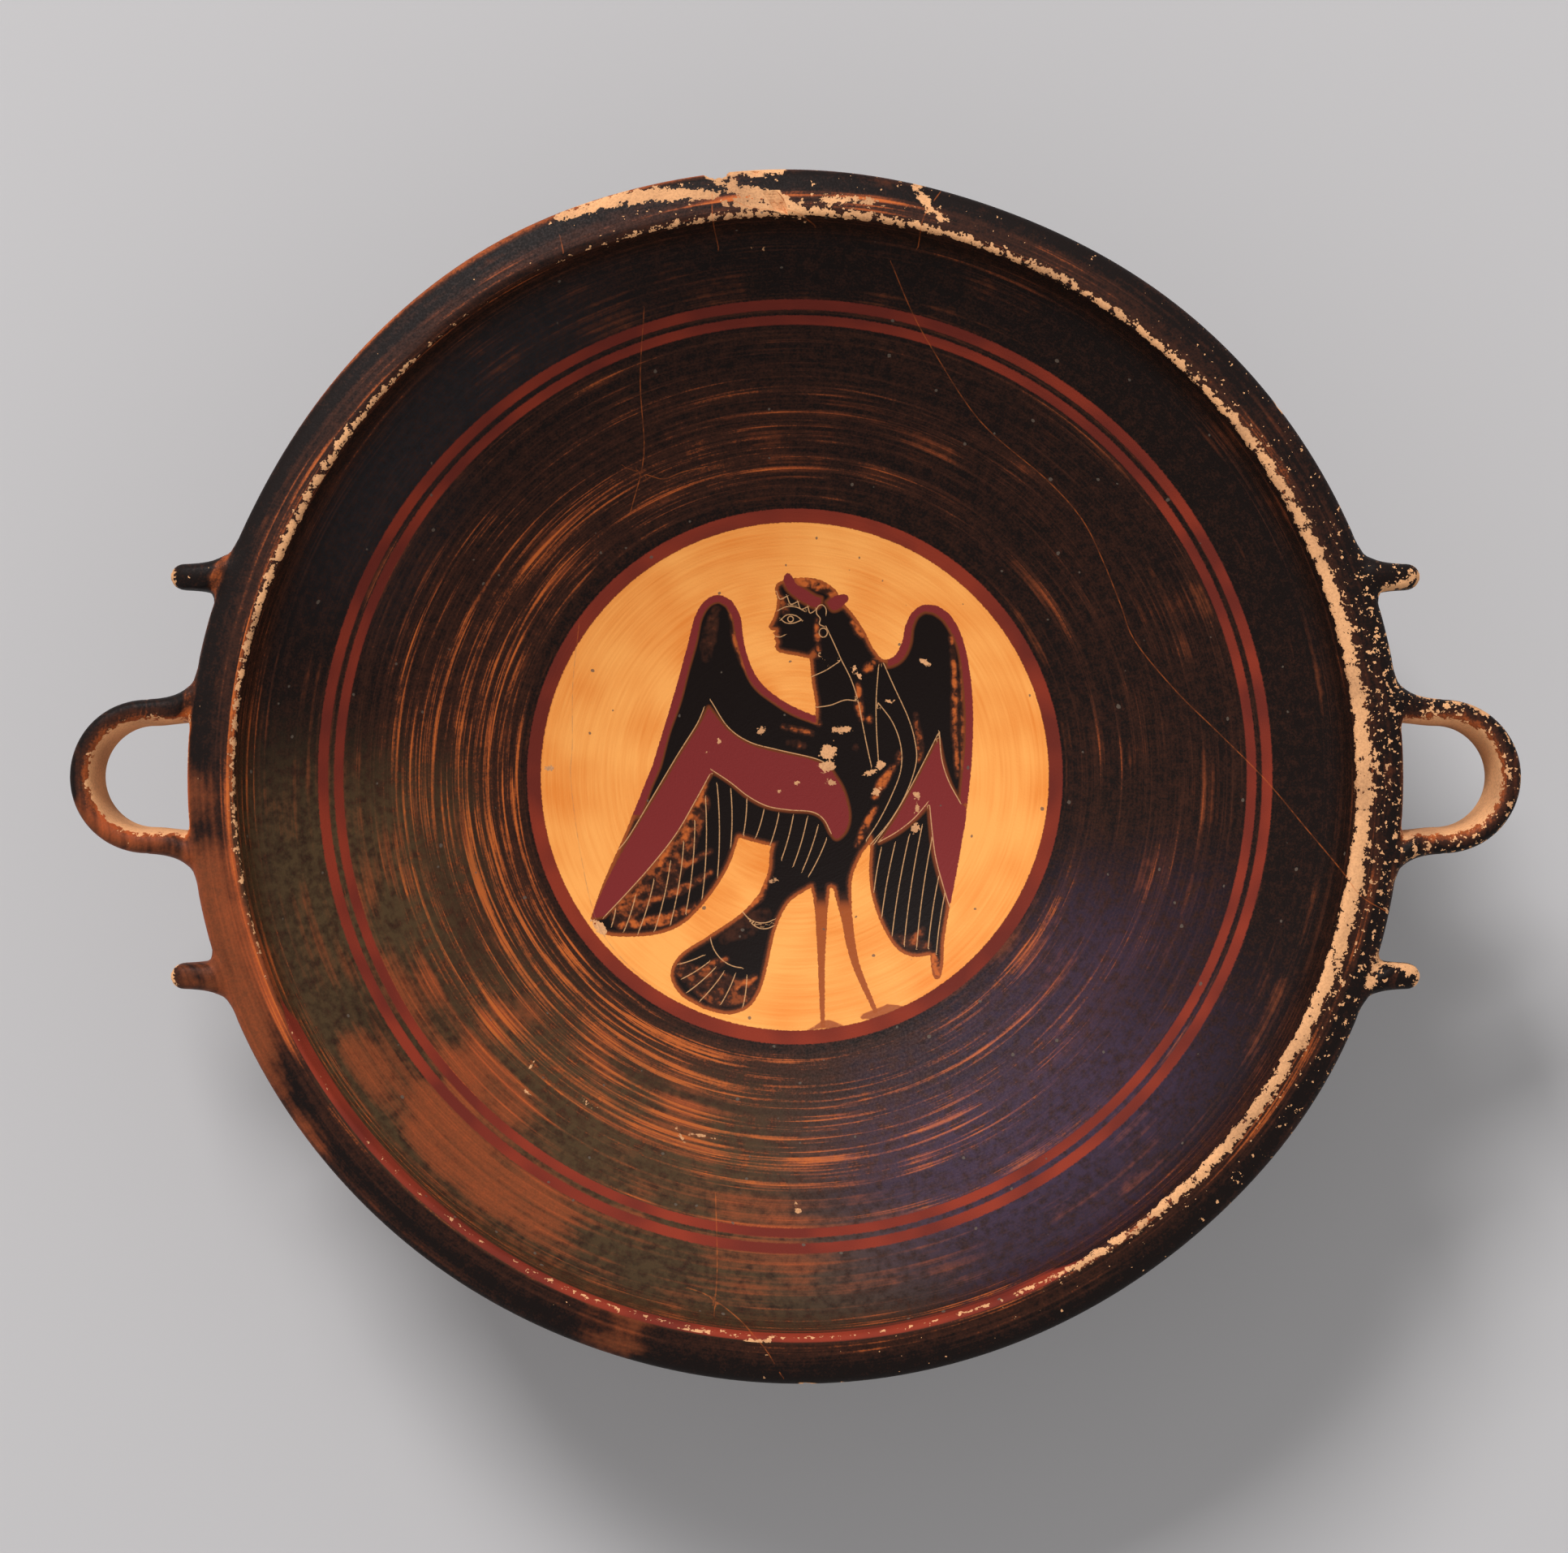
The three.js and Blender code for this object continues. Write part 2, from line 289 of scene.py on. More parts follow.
def lowerProfile():
    # from the rim's underside down the outside of the bowl, round the foot and into its hollow
    rim, under = cup["rimRadius"], cup["height"] - cup["rimDrop"] - cup["rimDepth"]
    stem, stemTop, foot, edge = cup["stemRadius"], cup["stemHeight"], cup["footRadius"], cup["footEdge"]
    wall = outsideWall(np.linspace(cup["creaseRadius"] - 4.5, 41, 300))
    ring = foot - cup["footRing"]
    parts = [
        bezier([(rim - 3, under + 0.4), (rim - 7.5, under), (rim - 9.5, under - 1.6)], 40),
        bezier([(rim - 9.5, under - 1.6), (rim - 12.5, under - 4.0), wall[0]], 30),
        wall,
        bezier([wall[-1], (stem + 4, stemTop + 6.8), (stem + 0.2, stemTop + 4.2), (stem, stemTop)], 30),
        bezier([(stem, stemTop), (stem, 15), (44, edge + 4), (foot - 0.9, edge + 0.2)], 80),
        bezier([(foot - 0.9, edge + 0.2), (foot, edge), (foot, edge - 0.9)], 12),
        bezier([(foot, edge - 0.9), (foot, 1), (foot, 0.9)], 12),
        bezier([(foot, 0.9), (foot, 0), (foot - 0.9, 0)], 12),
        bezier([(foot - 0.9, 0), (ring + 1, 0), (ring + 0.5, 0)], 12),
        bezier([(ring + 0.5, 0), (34, 12), (22, cup["hollowHeight"]), (0.6, cup["hollowHeight"])], 120),
    ]
    spacing = [1.4, 1.8, 3.0, 1.6, 2.2, 0.7, 1.6, 0.7, 3.3, 3.4]
    wanted = np.concatenate([np.full(len(p), s) for p, s in zip(parts, spacing)])
    return evenly(np.vstack(parts), wanted)[1:]


def squareNet(cells, radius):
    # a square net drawn out to a disc: x times the root of 1 - y^2/2, and the same for y. Its edge
    # points lie at even angles, so rings with four times as many points as cells join on to it
    share = math.sqrt(2) * np.sin(np.linspace(-math.pi / 4, math.pi / 4, cells + 1))
    u, v = np.meshgrid(share, share, indexing="xy")
    x = radius * u * np.sqrt(1 - v * v / 2)
    y = radius * v * np.sqrt(1 - u * u / 2)
    edge = np.arange(cells)
    n = cells + 1
    border = np.concatenate(  # anticlockwise from the lower left corner
        [edge, edge * n + cells, cells * n + cells - edge, (cells - edge) * n]
    )
    return np.stack([x.ravel(), y.ravel()], -1), gridFaces(n, n, False), border


def bridged(inner, outer):
    # triangles between a closed row of points and one with half as many
    half = len(outer)
    m = np.arange(half)
    a, b, c = inner[2 * m], inner[2 * m + 1], inner[(2 * m + 2) % len(inner)]
    d, e = outer[m], outer[(m + 1) % half]
    return np.vstack([np.stack(t, -1) for t in ((a, d, b), (b, d, e), (b, e, c))])


def turnedBody():
    # the net for the floor of the bowl, then rings with half as many points as its border up to the rim
    # and over it, rings with a quarter as many round the outside, and a fan at the pole inside the foot
    flat, netFaces, border = squareNet(cup["capCells"], cup["capRadius"])
    net = np.column_stack([flat, insideHeight(np.hypot(*flat.T))])
    angle = np.arctan2(flat[border, 1], flat[border, 0])
    vertices, faces = [net], [netFaces]
    total, row = len(net), border
    for profile, angles in ((upperProfile()[1:], angle[::2]), (lowerProfile(), angle[::4])):
        r, z = profile[:, :1], profile[:, 1:]
        ring = total + np.arange(len(angles))
        vertices.append(np.stack([r * np.cos(angles), r * np.sin(angles), z + 0 * angles], -1).reshape(-1, 3))
        faces.append(bridged(row, ring))
        faces.append(gridFaces(len(profile), len(angles), True)[:, [0, 2, 1]] + total)
        total += len(vertices[-1])
        row = ring + len(angles) * (len(profile) - 1)
    vertices.append([[0, 0, cup["hollowHeight"]]])
    faces.append(np.stack([row, np.full_like(row, total), np.roll(row, -1)], -1))
    return pressed(np.vstack(vertices)), np.vstack(faces)


print("profile ready")

ribbon = {  # millimetres, as the solid's
    "top": 94.4,
    "height": 21.5,
    "thickness": 6.0,
    "corner": 3.6,  # power of its cross-section: 2 is an ellipse, more is squarer
    "reach": 179.8,  # outermost point of a handle
    "rise": 1.6,  # how much higher it stands where it meets the rim
    "loopRadius": 19.5,
    "lean": 0.09,  # how much narrower the loop is along its lower edge
    "rootHalf": 26.0,
    "rootStart": 127.0,
    "spread": 3.2,  # distance over which a root narrows, out from the rim
    "around": 28,  # points round a cross-section
}
spurSize = {
    "aside": 49.3,
    "reach": 154.0,
    "half": 3.1,
    "root": 7.5,
    "height": 15.0,
    "taper": 5.0,
    "around": 24,
}


def rootsInWall(places):
    # the ends of the roots stop in the middle of the bowl's wall: nothing lies nearer the axis than the
    # inside's radius at its height and six tenths of the wall more. Above the crease the lip leans out
    r = np.hypot(places[:, 0], places[:, 1])
    z = places[:, 2]
    share = np.clip((z - cup["floorHeight"]) / bowlDepth, 0, 1)
    inside = cup["creaseRadius"] * share ** (1 / cup["bowlPower"])
    inside += np.clip(z - creaseHeight, 0, None) * 0.4
    scale = np.maximum(inside + 0.6 * cup["wallThickness"], r) / np.maximum(r, 1)
    return places * np.stack([scale, scale, np.ones_like(scale)], -1)


def joined(pieces):
    # several vertex and face arrays as one pair
    starts = np.cumsum([0] + [len(vertices) for vertices, _ in pieces])
    faces = [faces + start for (_, faces), start in zip(pieces, starts)]
    return np.vstack([vertices for vertices, _ in pieces]), np.vstack(faces)


def ribbonPiece(left, right, low, high, around):
    # a ribbon on edge: at each step a rounded rectangle between its left and right plan points and its
    # low and high edges, drawn as a superellipse |x|^p + |z|^p = 1, and closed at both ends
    turn = np.linspace(0, 2 * math.pi, around, endpoint=False)
    c, s = np.cos(turn), np.sin(turn)
    power = 2 / ribbon["corner"]
    across = 0.5 + 0.5 * np.sign(c) * np.abs(c) ** power
    up = 0.5 + 0.5 * np.sign(s) * np.abs(s) ** power
    plan = left[:, None, :] + (right - left)[:, None, :] * across[None, :, None]
    z = low[:, None] + (high - low)[:, None] * up[None, :]
    vertices = np.concatenate([plan, z[..., None]], -1).reshape(-1, 3)
    steps = len(left)
    faces = gridFaces(steps, around, True)
    ends = []
    for row, flip in ((0, 1), (steps - 1, -1)):
        middle = len(vertices)
        start = row * around
        vertices = np.vstack([vertices, vertices[start : start + around].mean(0)])
        j = np.arange(around)
        cap = np.stack([np.full(around, middle), start + (j + 1) % around, start + j], -1)
        ends.append(cap[:, ::flip])
    return vertices, np.vstack([faces, *ends])[:, ::-1]


def riseAt(x):
    # the upper edge rises to the rim's top, from 8 mm outside of its edge to 4 mm inside
    return ribbon["rise"] * (1 - blend(cup["rimRadius"] - 4, cup["rimRadius"] + 8, x))


def spreadAt(out):
    # how much of a root's spread is left at a distance out from the rim's edge: it dies away as e^-x
    return np.exp(-np.maximum(out + 2.5, 0) / ribbon["spread"])


def handlePiece(side):
    # the loop: straight in from the root, half a circle round, and straight back, leaning in downwards
    middle = ribbon["reach"] - ribbon["loopRadius"]
    outerR, innerR = ribbon["loopRadius"], ribbon["loopRadius"] - ribbon["thickness"]
    x = np.append(np.arange(ribbon["rootStart"], 142, 2), np.linspace(142, middle, 22, endpoint=False))
    outerHalf = outerR + (ribbon["rootHalf"] - outerR) * spreadAt(x - cup["rimRadius"])
    arc = np.linspace(math.pi / 2, 0, 26)
    bend = np.stack([np.cos(arc), np.sin(arc)], -1)
    left = np.vstack([np.stack([x, outerHalf], -1), outerR * bend + (middle, 0)])
    right = np.vstack([np.stack([x, np.full_like(x, innerR)], -1), innerR * bend + (middle, 0)])
    left = np.vstack([left, left[-2::-1] * (1, -1)])
    right = np.vstack([right, right[-2::-1] * (1, -1)])
    low = np.full(len(left), ribbon["top"] - ribbon["height"])
    high = ribbon["top"] + riseAt(left[:, 0])
    p, faces = ribbonPiece(left, right, low, high, ribbon["around"])
    free = blend(cup["rimRadius"] - 2, middle, p[:, 0])
    lean = free * ribbon["lean"] * (ribbon["top"] - p[:, 2]) / ribbon["height"]
    p = np.stack([p[:, 0] - (p[:, 0] - middle) * lean, p[:, 1] * (1 - lean), p[:, 2]], -1)
    uneven = 0.25 * np.sin(p[:, 1] * 0.21 + side) * free - 0.25 * free  # pulled by hand, a little uneven
    p[:, 2] += uneven * blend(ribbon["top"] - 8, ribbon["top"], p[:, 2])
    return rootsInWall(p) * (side, side, 1), faces


def spurPiece(side, upper):
    # blunt and narrowing outwards; its lower edge rises to the tip, which is rounded off
    edge = math.sqrt(cup["rimRadius"] ** 2 - spurSize["aside"] ** 2)
    length = spurSize["reach"] - edge
    tip = length - 3 + 3 * np.sin(np.linspace(0, math.pi / 2, 7)[1:])
    out = np.concatenate([np.linspace(-20, -4, 6, endpoint=False), np.linspace(-4, length - 3, 12), tip])
    shy = np.clip((out - (length - 3)) / 3, 0, 1)
    blunt = np.maximum(np.sqrt(1 - shy * shy), 0.25) ** 0.8
    halfWidth = blunt * (spurSize["half"] + (spurSize["root"] - spurSize["half"]) * spreadAt(out))
    low = ribbon["top"] - spurSize["height"] + spurSize["taper"] * blend(-2, length, out) + 3 * (1 - blunt)
    high = ribbon["top"] + riseAt(edge + out + 2) - 2.2 * (1 - blunt)
    middle = upper * spurSize["aside"]
    left = np.stack([edge + out, middle + halfWidth], -1)
    right = np.stack([edge + out, middle - halfWidth], -1)
    p, faces = ribbonPiece(left, right, low, high, spurSize["around"])
    return rootsInWall(p) * (side, side, 1), faces


def applied(piece, kind, other, operation):
    # joins or cuts a piece with another, which is then removed
    change = piece.modifiers.new(kind, "BOOLEAN")
    change.operation = operation
    change.solver = "MANIFOLD"
    change.object = other
    evaluated = piece.evaluated_get(bpy.context.evaluated_depsgraph_get())
    mesh = bpy.data.meshes.new_from_object(evaluated)
    piece.modifiers.clear()
    piece.data = mesh
    bpy.data.objects.remove(other)


def edgesOf(piece):
    # the two ends of every edge
    ends = np.zeros(len(piece.data.edges) * 2, np.int32)
    piece.data.edges.foreach_get("vertices", ends)
    return ends.reshape(-1, 2)


def newPlaces(places, before):
    # which places were not there before, told by their coordinates in hundredths of a millimetre
    def key(p):
        # one whole number for each place
        whole = np.round(p * 100).astype(np.int64) + 100000
        return (whole[:, 0] * 200000 + whole[:, 1]) * 200000 + whole[:, 2]

    return ~np.isin(key(places), key(before))


joins = {  # clay smoothed over the seams of the handles and spurs, in millimetres
    "reach": 4.2,  # how far from a seam it goes
    "rounds": 14,
    "step": 0.6,  # share of the way to its neighbours' mean that a place goes in a round
    "nearest": 120.0,  # all seams are farther from the axis
    "aside": 75.0,  # and less far aside
}


def softenJoins(piece, before):
    # clay smoothed over a join: vertices near the new seam move towards the mean of their neighbours,
    # the more so the nearer they are
    p = placesOf(piece)
    near = np.hypot(p[:, 0], p[:, 1]) > joins["nearest"]
    spots = p[newPlaces(p, before) & near]
    least = np.full(len(p), 1e9)
    for chunk in np.array_split(np.flatnonzero(near & (np.abs(p[:, 1]) < joins["aside"])), 40):
        least[chunk] = np.linalg.norm(p[chunk][:, None, :] - spots[None, :, :], axis=2).min(1)
    weight = 1 - blend(joins["reach"] * 0.35, joins["reach"], least)
    ends = edgesOf(piece)
    ends = ends[(weight[ends[:, 0]] > 0) | (weight[ends[:, 1]] > 0)]
    one, two = ends.T
    count = np.bincount(ends.ravel(), minlength=len(p))[:, None]
    for _ in range(joins["rounds"]):
        total = [np.bincount(one, p[two, k], len(p)) + np.bincount(two, p[one, k], len(p)) for k in range(3)]
        mean = np.stack(total, -1) / np.maximum(count, 1)
        p = np.where(count > 0, p + joins["step"] * weight[:, None] * (mean - p), p)
    piece.data.vertices.foreach_set("co", (p * mm).ravel())


# pieces broken out of the rim, each with a six-sided wedge laid along it: direction in degrees, radius
# and height of its middle, length, size across the rim and down, turn against the rim, and tilt
rimChips = {
    "notch": (97.5, 150.9, 94, 9.5, 6.6, 18, -14, 0),
    "facet": (93.9, 151.4, 97.4, 11.5, 10, 5, 4, -12),
    "wedge": (92.2, 142.6, 98.9, 5.5, 16, 4.6, 36, -9),
    "nick": (271, 150.6, 92, 3.6, 3.2, 12, 20, 0),
    "flake": (37.5, 150.7, 94.6, 6, 2.8, 7, -8, 0),
}


wedge = {
    "around": 60,
    "rows": 10,
    "capRows": 8,
    "lowEnd": 0.62,  # size of its lower end beside its upper one
    "swell": 0.075,  # how far the rough face goes in and out, as a share
    "lift": 0.16,  # and up and down, in millimetres
}


def wedgePiece(name, at, radius, height, length, across, down, turn, tilt):
    # a hexagon a = cos(30)/cos(angle from the middle of its side), narrower downwards, carried from its
    # top's middle over its edge and down to its lower middle, with a rough face of mixed sine waves
    around, steps, capRows, lowEnd = (wedge[name] for name in ("around", "rows", "capRows", "lowEnd"))
    angle = np.linspace(0, 2 * math.pi, around, endpoint=False)
    hexagon = math.cos(math.pi / 6) / np.cos((angle + math.pi / 6) % (math.pi / 3) - math.pi / 6)
    cap = np.linspace(0.12, 1, capRows, endpoint=False)
    size = np.concatenate([cap, np.linspace(1, lowEnd, steps), lowEnd * cap[::-1]])
    level = np.concatenate([np.full(capRows, 0.5), np.linspace(0.5, -0.5, steps), np.full(capRows, -0.5)])
    x = size[:, None] * hexagon * np.sin(angle) * across / 2
    y = -size[:, None] * hexagon * np.cos(angle) * length / 2
    z = level[:, None] * down + 0 * x
    wave = np.sin(1.9 * x + 2.3 * z + at) * np.sin(1.6 * y - 1.1 * z)
    wave += 0.6 * np.sin(4.3 * y + 3.1 * z + 2 * at) + 0.4 * np.sin(7.1 * x - 5.3 * y + 6.7 * z)
    grow = 1 + wedge["swell"] * wave
    p = np.stack([x * grow, y * grow, z + wedge["lift"] * wave], -1).reshape(-1, 3)
    rows = len(size)
    p = np.vstack([p, [[0, 0, down / 2], [0, 0, -down / 2]]])
    j = np.arange(around)
    following = (j + 1) % around
    top = np.stack([np.full(around, rows * around), following, j], -1)
    last = (rows - 1) * around
    low = np.stack([np.full(around, rows * around + 1), last + j, last + following], -1)
    faces = np.vstack([gridFaces(rows, around, True), top, low])[:, ::-1]

    def turned(p, axis, degrees):
        # turned about an axis through the origin
        c, s = math.cos(math.radians(degrees)), math.sin(math.radians(degrees))
        k, m = ((1, 2), (2, 0), (0, 1))[axis]
        q = p.copy()
        q[:, k], q[:, m] = c * p[:, k] - s * p[:, m], s * p[:, k] + c * p[:, m]
        return q

    p = turned(turned(p, 1, tilt), 2, turn) + (radius, 0, height)
    return meshObject(name, turned(p, 2, at), faces)


# the painted tondo: a siren, a bird with a woman's head, in black figure
tondo = {  # millimetres in plan, from the axis
    "groundRadius": 65.6,  # the orange disc
    "borderRadius": 69.1,  # outside of the red ring round it
    "innerRing": (113.8, 116.0),  # two red lines farther up the bowl
    "outerRing": (117.3, 119.7),
    "contourWidth": 1.9,  # red line that follows the wings' upper edges
    "cutWidth": 0.23,  # lines cut through the glaze to the clay
    "dilute": 0.66,  # how thin the glaze is down the legs
}

sirenShapes = {  # closed outlines: each is a list of smooth strokes that meet at corners
    "leftWing": [
        [(8, 14.8), (0.5, 17.8), (-4.4, 20.6), (-8.4, 24), (-11.3, 28.6), (-13.2, 35), (-14.1, 41.5),
         (-16.4, 45.7)],
        [(-16.4, 45.7), (-19.8, 47.1), (-23.3, 45.6), (-25.9, 41.5), (-27.5, 35.5), (-31.3, 21.7),
         (-37, 2.9)],
        [(-37, 2.9), (-43.8, -14), (-49.6, -27.5), (-52.8, -36.8)],
        [(-52.8, -36.8), (-49.8, -40.6), (-42.6, -41.5), (-34.3, -40.6), (-28, -37.5), (-22, -31),
         (-17.3, -23.6), (-14.5, -15.9)],
        [(-14.5, -15.9), (-10.2, -17.2), (-6.2, -18.2)],
        [(-6.2, -18.2), (8, -18), (12, 0), (8, 14.8)],
    ],
    "rightWing": [
        [(21, 31.6), (23.7, 30.4), (26.2, 31.6), (27.9, 35), (28.7, 39), (30.4, 42.5), (33.2, 44.4),
         (36.6, 44.3)],
        [(36.6, 44.3), (40, 42), (42.7, 37.6), (44.7, 31), (46.1, 20), (46.1, 7), (44.7, -8), (42.6, -20),
         (40.3, -33)],
        [(40.3, -33), (38.8, -42), (38.4, -48.4), (37.6, -51.9), (36.2, -52.3), (35.4, -50.2), (35, -46.3)],
        [(35, -46.3), (30.4, -46.7), (26.2, -44.4), (22.5, -38.4), (20, -31), (19.3, -24.5), (19.7, -17.2)],
        [(19.7, -17.2), (14, 0), (21, 31.6)],
    ],
    "bodyAndTail": [
        [(3.8, 31.4), (4.5, 24), (5.4, 17.2), (4, 8), (-2, -8), (-6.2, -18.2), (-6.9, -24.4), (-9.2, -30.4)],
        [(-9.2, -30.4), (-14, -35.6), (-22.6, -41.4), (-29.6, -46), (-32.2, -51.2), (-29.6, -56.4),
         (-23.6, -60.1)],
        [(-23.6, -60.1), (-17.3, -61.5), (-12, -59.8), (-8.7, -55), (-6.7, -47.5), (-4.8, -39.4),
         (-1.4, -32.8), (4.4, -28.8)],
        [(4.4, -28.8), (7, -29.6), (9.4, -28.9)],
        [(9.4, -28.9), (12, -30), (14.4, -30.6)],
        [(14.4, -30.6), (15.2, -25.6), (17.4, -20.4), (20.4, -15.6), (24, -2), (25.2, 14), (24.6, 26),
         (22.4, 31)],
        [(22.4, 31), (12, 34), (3.8, 31.4)],
    ],
    "hair": [
        [(-4.9, 47.2), (-5.1, 49.2), (-3.6, 50.7), (1.6, 51.6), (6.6, 51), (10.4, 48.6), (12.8, 44.8)],
        [(12.8, 44.8), (15.4, 41.9), (18.1, 37.8), (20.2, 33.7), (22.3, 30.9)],
        [(22.3, 30.9), (16, 26), (6, 30), (2, 38), (-4.9, 47.2)],
    ],
    "face": [  # brow, nose and chin each a third of the height from hairline to chin
        [(-4.7, 47.6), (-4.7, 44.8), (-5.2, 42.4), (-6, 40.4), (-6.9, 38.9)],
        [(-6.9, 38.9), (-6.2, 38.1), (-5, 37.9)],
        [(-5, 37.9), (-5.7, 37.2), (-5, 36.5)],
        [(-5, 36.5), (-5.5, 35.8), (-4.7, 35)],
        [(-4.7, 35), (-5.2, 33.9), (-4.6, 32.7), (-3, 32), (0.4, 31.4), (3.9, 30.6)],
        [(3.9, 30.6), (8, 36), (4, 46), (-4.7, 47.6)],
    ],
}

sirenRed = {
    "leftBand": [
        [(-22.4, 18), (-17.4, 12), (-11.8, 8.3), (-4.6, 6.3), (4.8, 4.2), (9.8, 1.2)],
        [(9.8, 1.2), (12.6, -3.6), (14.1, -9.6), (13.4, -13.8), (11, -16.2), (9.3, -14.6)],
        [(9.3, -14.6), (7.4, -11), (4.2, -9.2), (-1.8, -8.8), (-7.4, -7.8), (-12.4, -5.2), (-16.8, -1.6),
         (-21.4, 1.4)],
        [(-21.4, 1.4), (-25.8, -6), (-31, -15), (-37.2, -23), (-43.4, -30), (-49.4, -36.2)],
        [(-49.4, -36.2), (-52.2, -36.4), (-51.6, -33.4)],
        [(-51.6, -33.4), (-47.6, -24.8), (-42.4, -15.4), (-36, -5), (-29.6, 5.8), (-24.8, 13.4), (-22.4, 18)],
    ],
    "rightBand": [
        [(37.4, 9.6), (38.6, 3.6), (40.4, -2), (42.8, -6.8)],
        [(42.8, -6.8), (44.6, -9), (43.4, -17), (41.8, -26), (40.2, -34)],
        [(40.2, -34), (38, -27.4), (36.2, -20.4), (35.4, -13.6), (34.9, -7.2)],
        [(34.9, -7.2), (31, -11.4), (26.6, -14.8), (22, -17.2)],
        [(22, -17.2), (25.6, -12), (30, -4.4), (34.2, 3.6), (37.4, 9.6)],
    ],
    "headband": [
        [(-3.1, 51.6), (-2, 52.9), (-0.8, 52), (0.4, 50), (2.8, 48.4), (5.2, 46.9), (6.9, 46.3)],
        [(6.9, 46.3), (6.6, 44.6), (5.4, 43.9), (2.6, 45.1), (0, 46.8), (-2.2, 49), (-3.1, 51.6)],
    ],
    "headbandEnd": [
        [(8.2, 45.2), (10, 46.6), (12, 47.3), (13.6, 47), (14, 45.8), (13, 44.8), (11.6, 43.6),
         (9.8, 43.2), (8.2, 45.2)],
    ],
}


def outlineOf(strokes):
    # smooth strokes laid end to end make one closed outline
    return np.vstack([smoothLine(stroke, 7)[:-1] for stroke in strokes])


def nearestOn(starts, ends, places):
    # for each place its distance to the nearest of many straight pieces, which piece that is, and on
    # which side of it the place lies: 1 left, -1 right
    nearest, which, side = np.zeros(len(places)), np.zeros(len(places), int), np.ones(len(places))
    x0, y0, ax, ay = (v.astype(np.float32)[None] for v in (*starts.T, *(ends - starts).T))
    square = np.maximum(ax**2 + ay**2, 1e-12)
    for chunk in np.array_split(np.arange(len(places)), max(1, len(places) * len(starts) // 60000)):
        dx, dy = (v.astype(np.float32)[:, None] - w for v, w in zip(places[chunk].T, (x0, y0)))
        share = np.clip((dx * ax + dy * ay) / square, 0, 1)
        gap = (dx - share * ax) ** 2 + (dy - share * ay) ** 2
        pick = gap.argmin(1)
        row = np.arange(len(chunk))
        nearest[chunk] = np.sqrt(gap[row, pick])
        which[chunk] = pick
        side[chunk] = np.where(ax[0, pick] * dy[row, pick] >= ay[0, pick] * dx[row, pick], 1.0, -1.0)
    return nearest, which, side


def insideField(outline, places):
    # distance to a closed outline, positive inside it: inside is where a ray to +x crosses it oddly
    following = np.roll(outline, -1, axis=0)
    nearest, _, _ = nearestOn(outline, following, places)
    odd = np.zeros(len(places), bool)
    for (x0, y0), (x1, y1) in zip(outline, following):
        spans = (y0 > places[:, 1]) != (y1 > places[:, 1])
        cross = x0 + (places[:, 1] - y0) * (x1 - x0) / (y1 - y0 if y1 != y0 else 1e-9)
        odd ^= spans & (places[:, 0] < cross)
    return np.where(odd, nearest, -nearest)


def strokeField(points, widths, places):
    # a brush stroke: half its width, which runs evenly from point to point, less the distance to its line
    line = smoothLine(points, 8)
    wide = np.interp(np.linspace(0, len(widths) - 1, len(line)), np.arange(len(widths)), widths)
    nearest, which, _ = nearestOn(line[:-1], line[1:], places)
    return 0.5 * wide[which] - nearest


def piecesOf(lines):
    # the two ends of every straight piece of some lines, smoothed where they are given as a few points
    smooth = [line if isinstance(line, np.ndarray) else smoothLine(line, 5) for line in lines]
    return np.vstack([line[:-1] for line in smooth]), np.vstack([line[1:] for line in smooth])


def cutField(lines, places):
    # cut lines: the signed offset from the nearest line, which crosses nothing on it, and the plain
    # distance, which tells the line from the places where two lines' halves of the surface meet
    nearest, _, side = nearestOn(*piecesOf(lines), places)
    return nearest * side, nearest


def between(first, second, count, bow=0.0, trim=(0, 0)):
    # cut lines from points spread evenly along one curve to points spread evenly along another, each
    # bowed sideways by a share of its length, and cut short by a share at each end
    share = np.linspace(0, 1, count)
    ends = []
    for line in (smoothLine(first, 10), smoothLine(second, 10)):
        at = share * (len(line) - 1)
        ends.append(np.stack([np.interp(at, np.arange(len(line)), line[:, k]) for k in (0, 1)], -1))
    lines = []
    for start, end in zip(*ends):
        way = end - start
        middle = (start + end) / 2 + bow * np.array([-way[1], way[0]])
        t = np.linspace(trim[0], 1 - trim[1], 7)[:, None]
        lines.append((1 - t) ** 2 * start + 2 * t * (1 - t) * middle + t**2 * end)
    return lines


def arcLine(centre, radii, fromDegrees, toDegrees, count=10):
    # part of an ellipse round a centre
    turn = np.radians(np.linspace(fromDegrees, toDegrees, count))
    return np.stack([centre[0] + radii[0] * np.cos(turn), centre[1] + radii[1] * np.sin(turn)], -1)


featherSets = [  # quills: the two curves they run between, how many, their bow, and what is left off
    (  # left wing
        [(-46.4, -34.4), (-38, -28), (-31, -20), (-26, -11), (-21.4, -1.6), (-15.4, -3.8), (-8, -8.6),
         (-1.6, -9.8), (4.4, -10.8), (8.4, -16)],
        [(-47.4, -38.6), (-42, -40.8), (-35, -39.8), (-28.4, -36), (-21.4, -28.8), (-15.6, -16.8),
         (-10.2, -16), (-4.6, -21), (0.4, -24), (3.6, -26)],
        16, 0.05, (0.03, 0.02),
    ),
    (  # right wing
        [(22.6, -18.4), (27, -16.4), (31.4, -13.6), (35, -12), (37.2, -24), (39, -30)],
        [(20.6, -30), (23, -38), (26.4, -43), (30.2, -45), (34, -44.6), (36.6, -46)],
        7, -0.03, (0.03, 0.02),
    ),
    (  # tail
        [(-23, -46), (-19, -49.4), (-12.4, -51)],
        [(-30, -48.6), (-26.4, -57), (-13.4, -59.4)],
        6, 0.06, (0.1, 0.0),
    ),
]
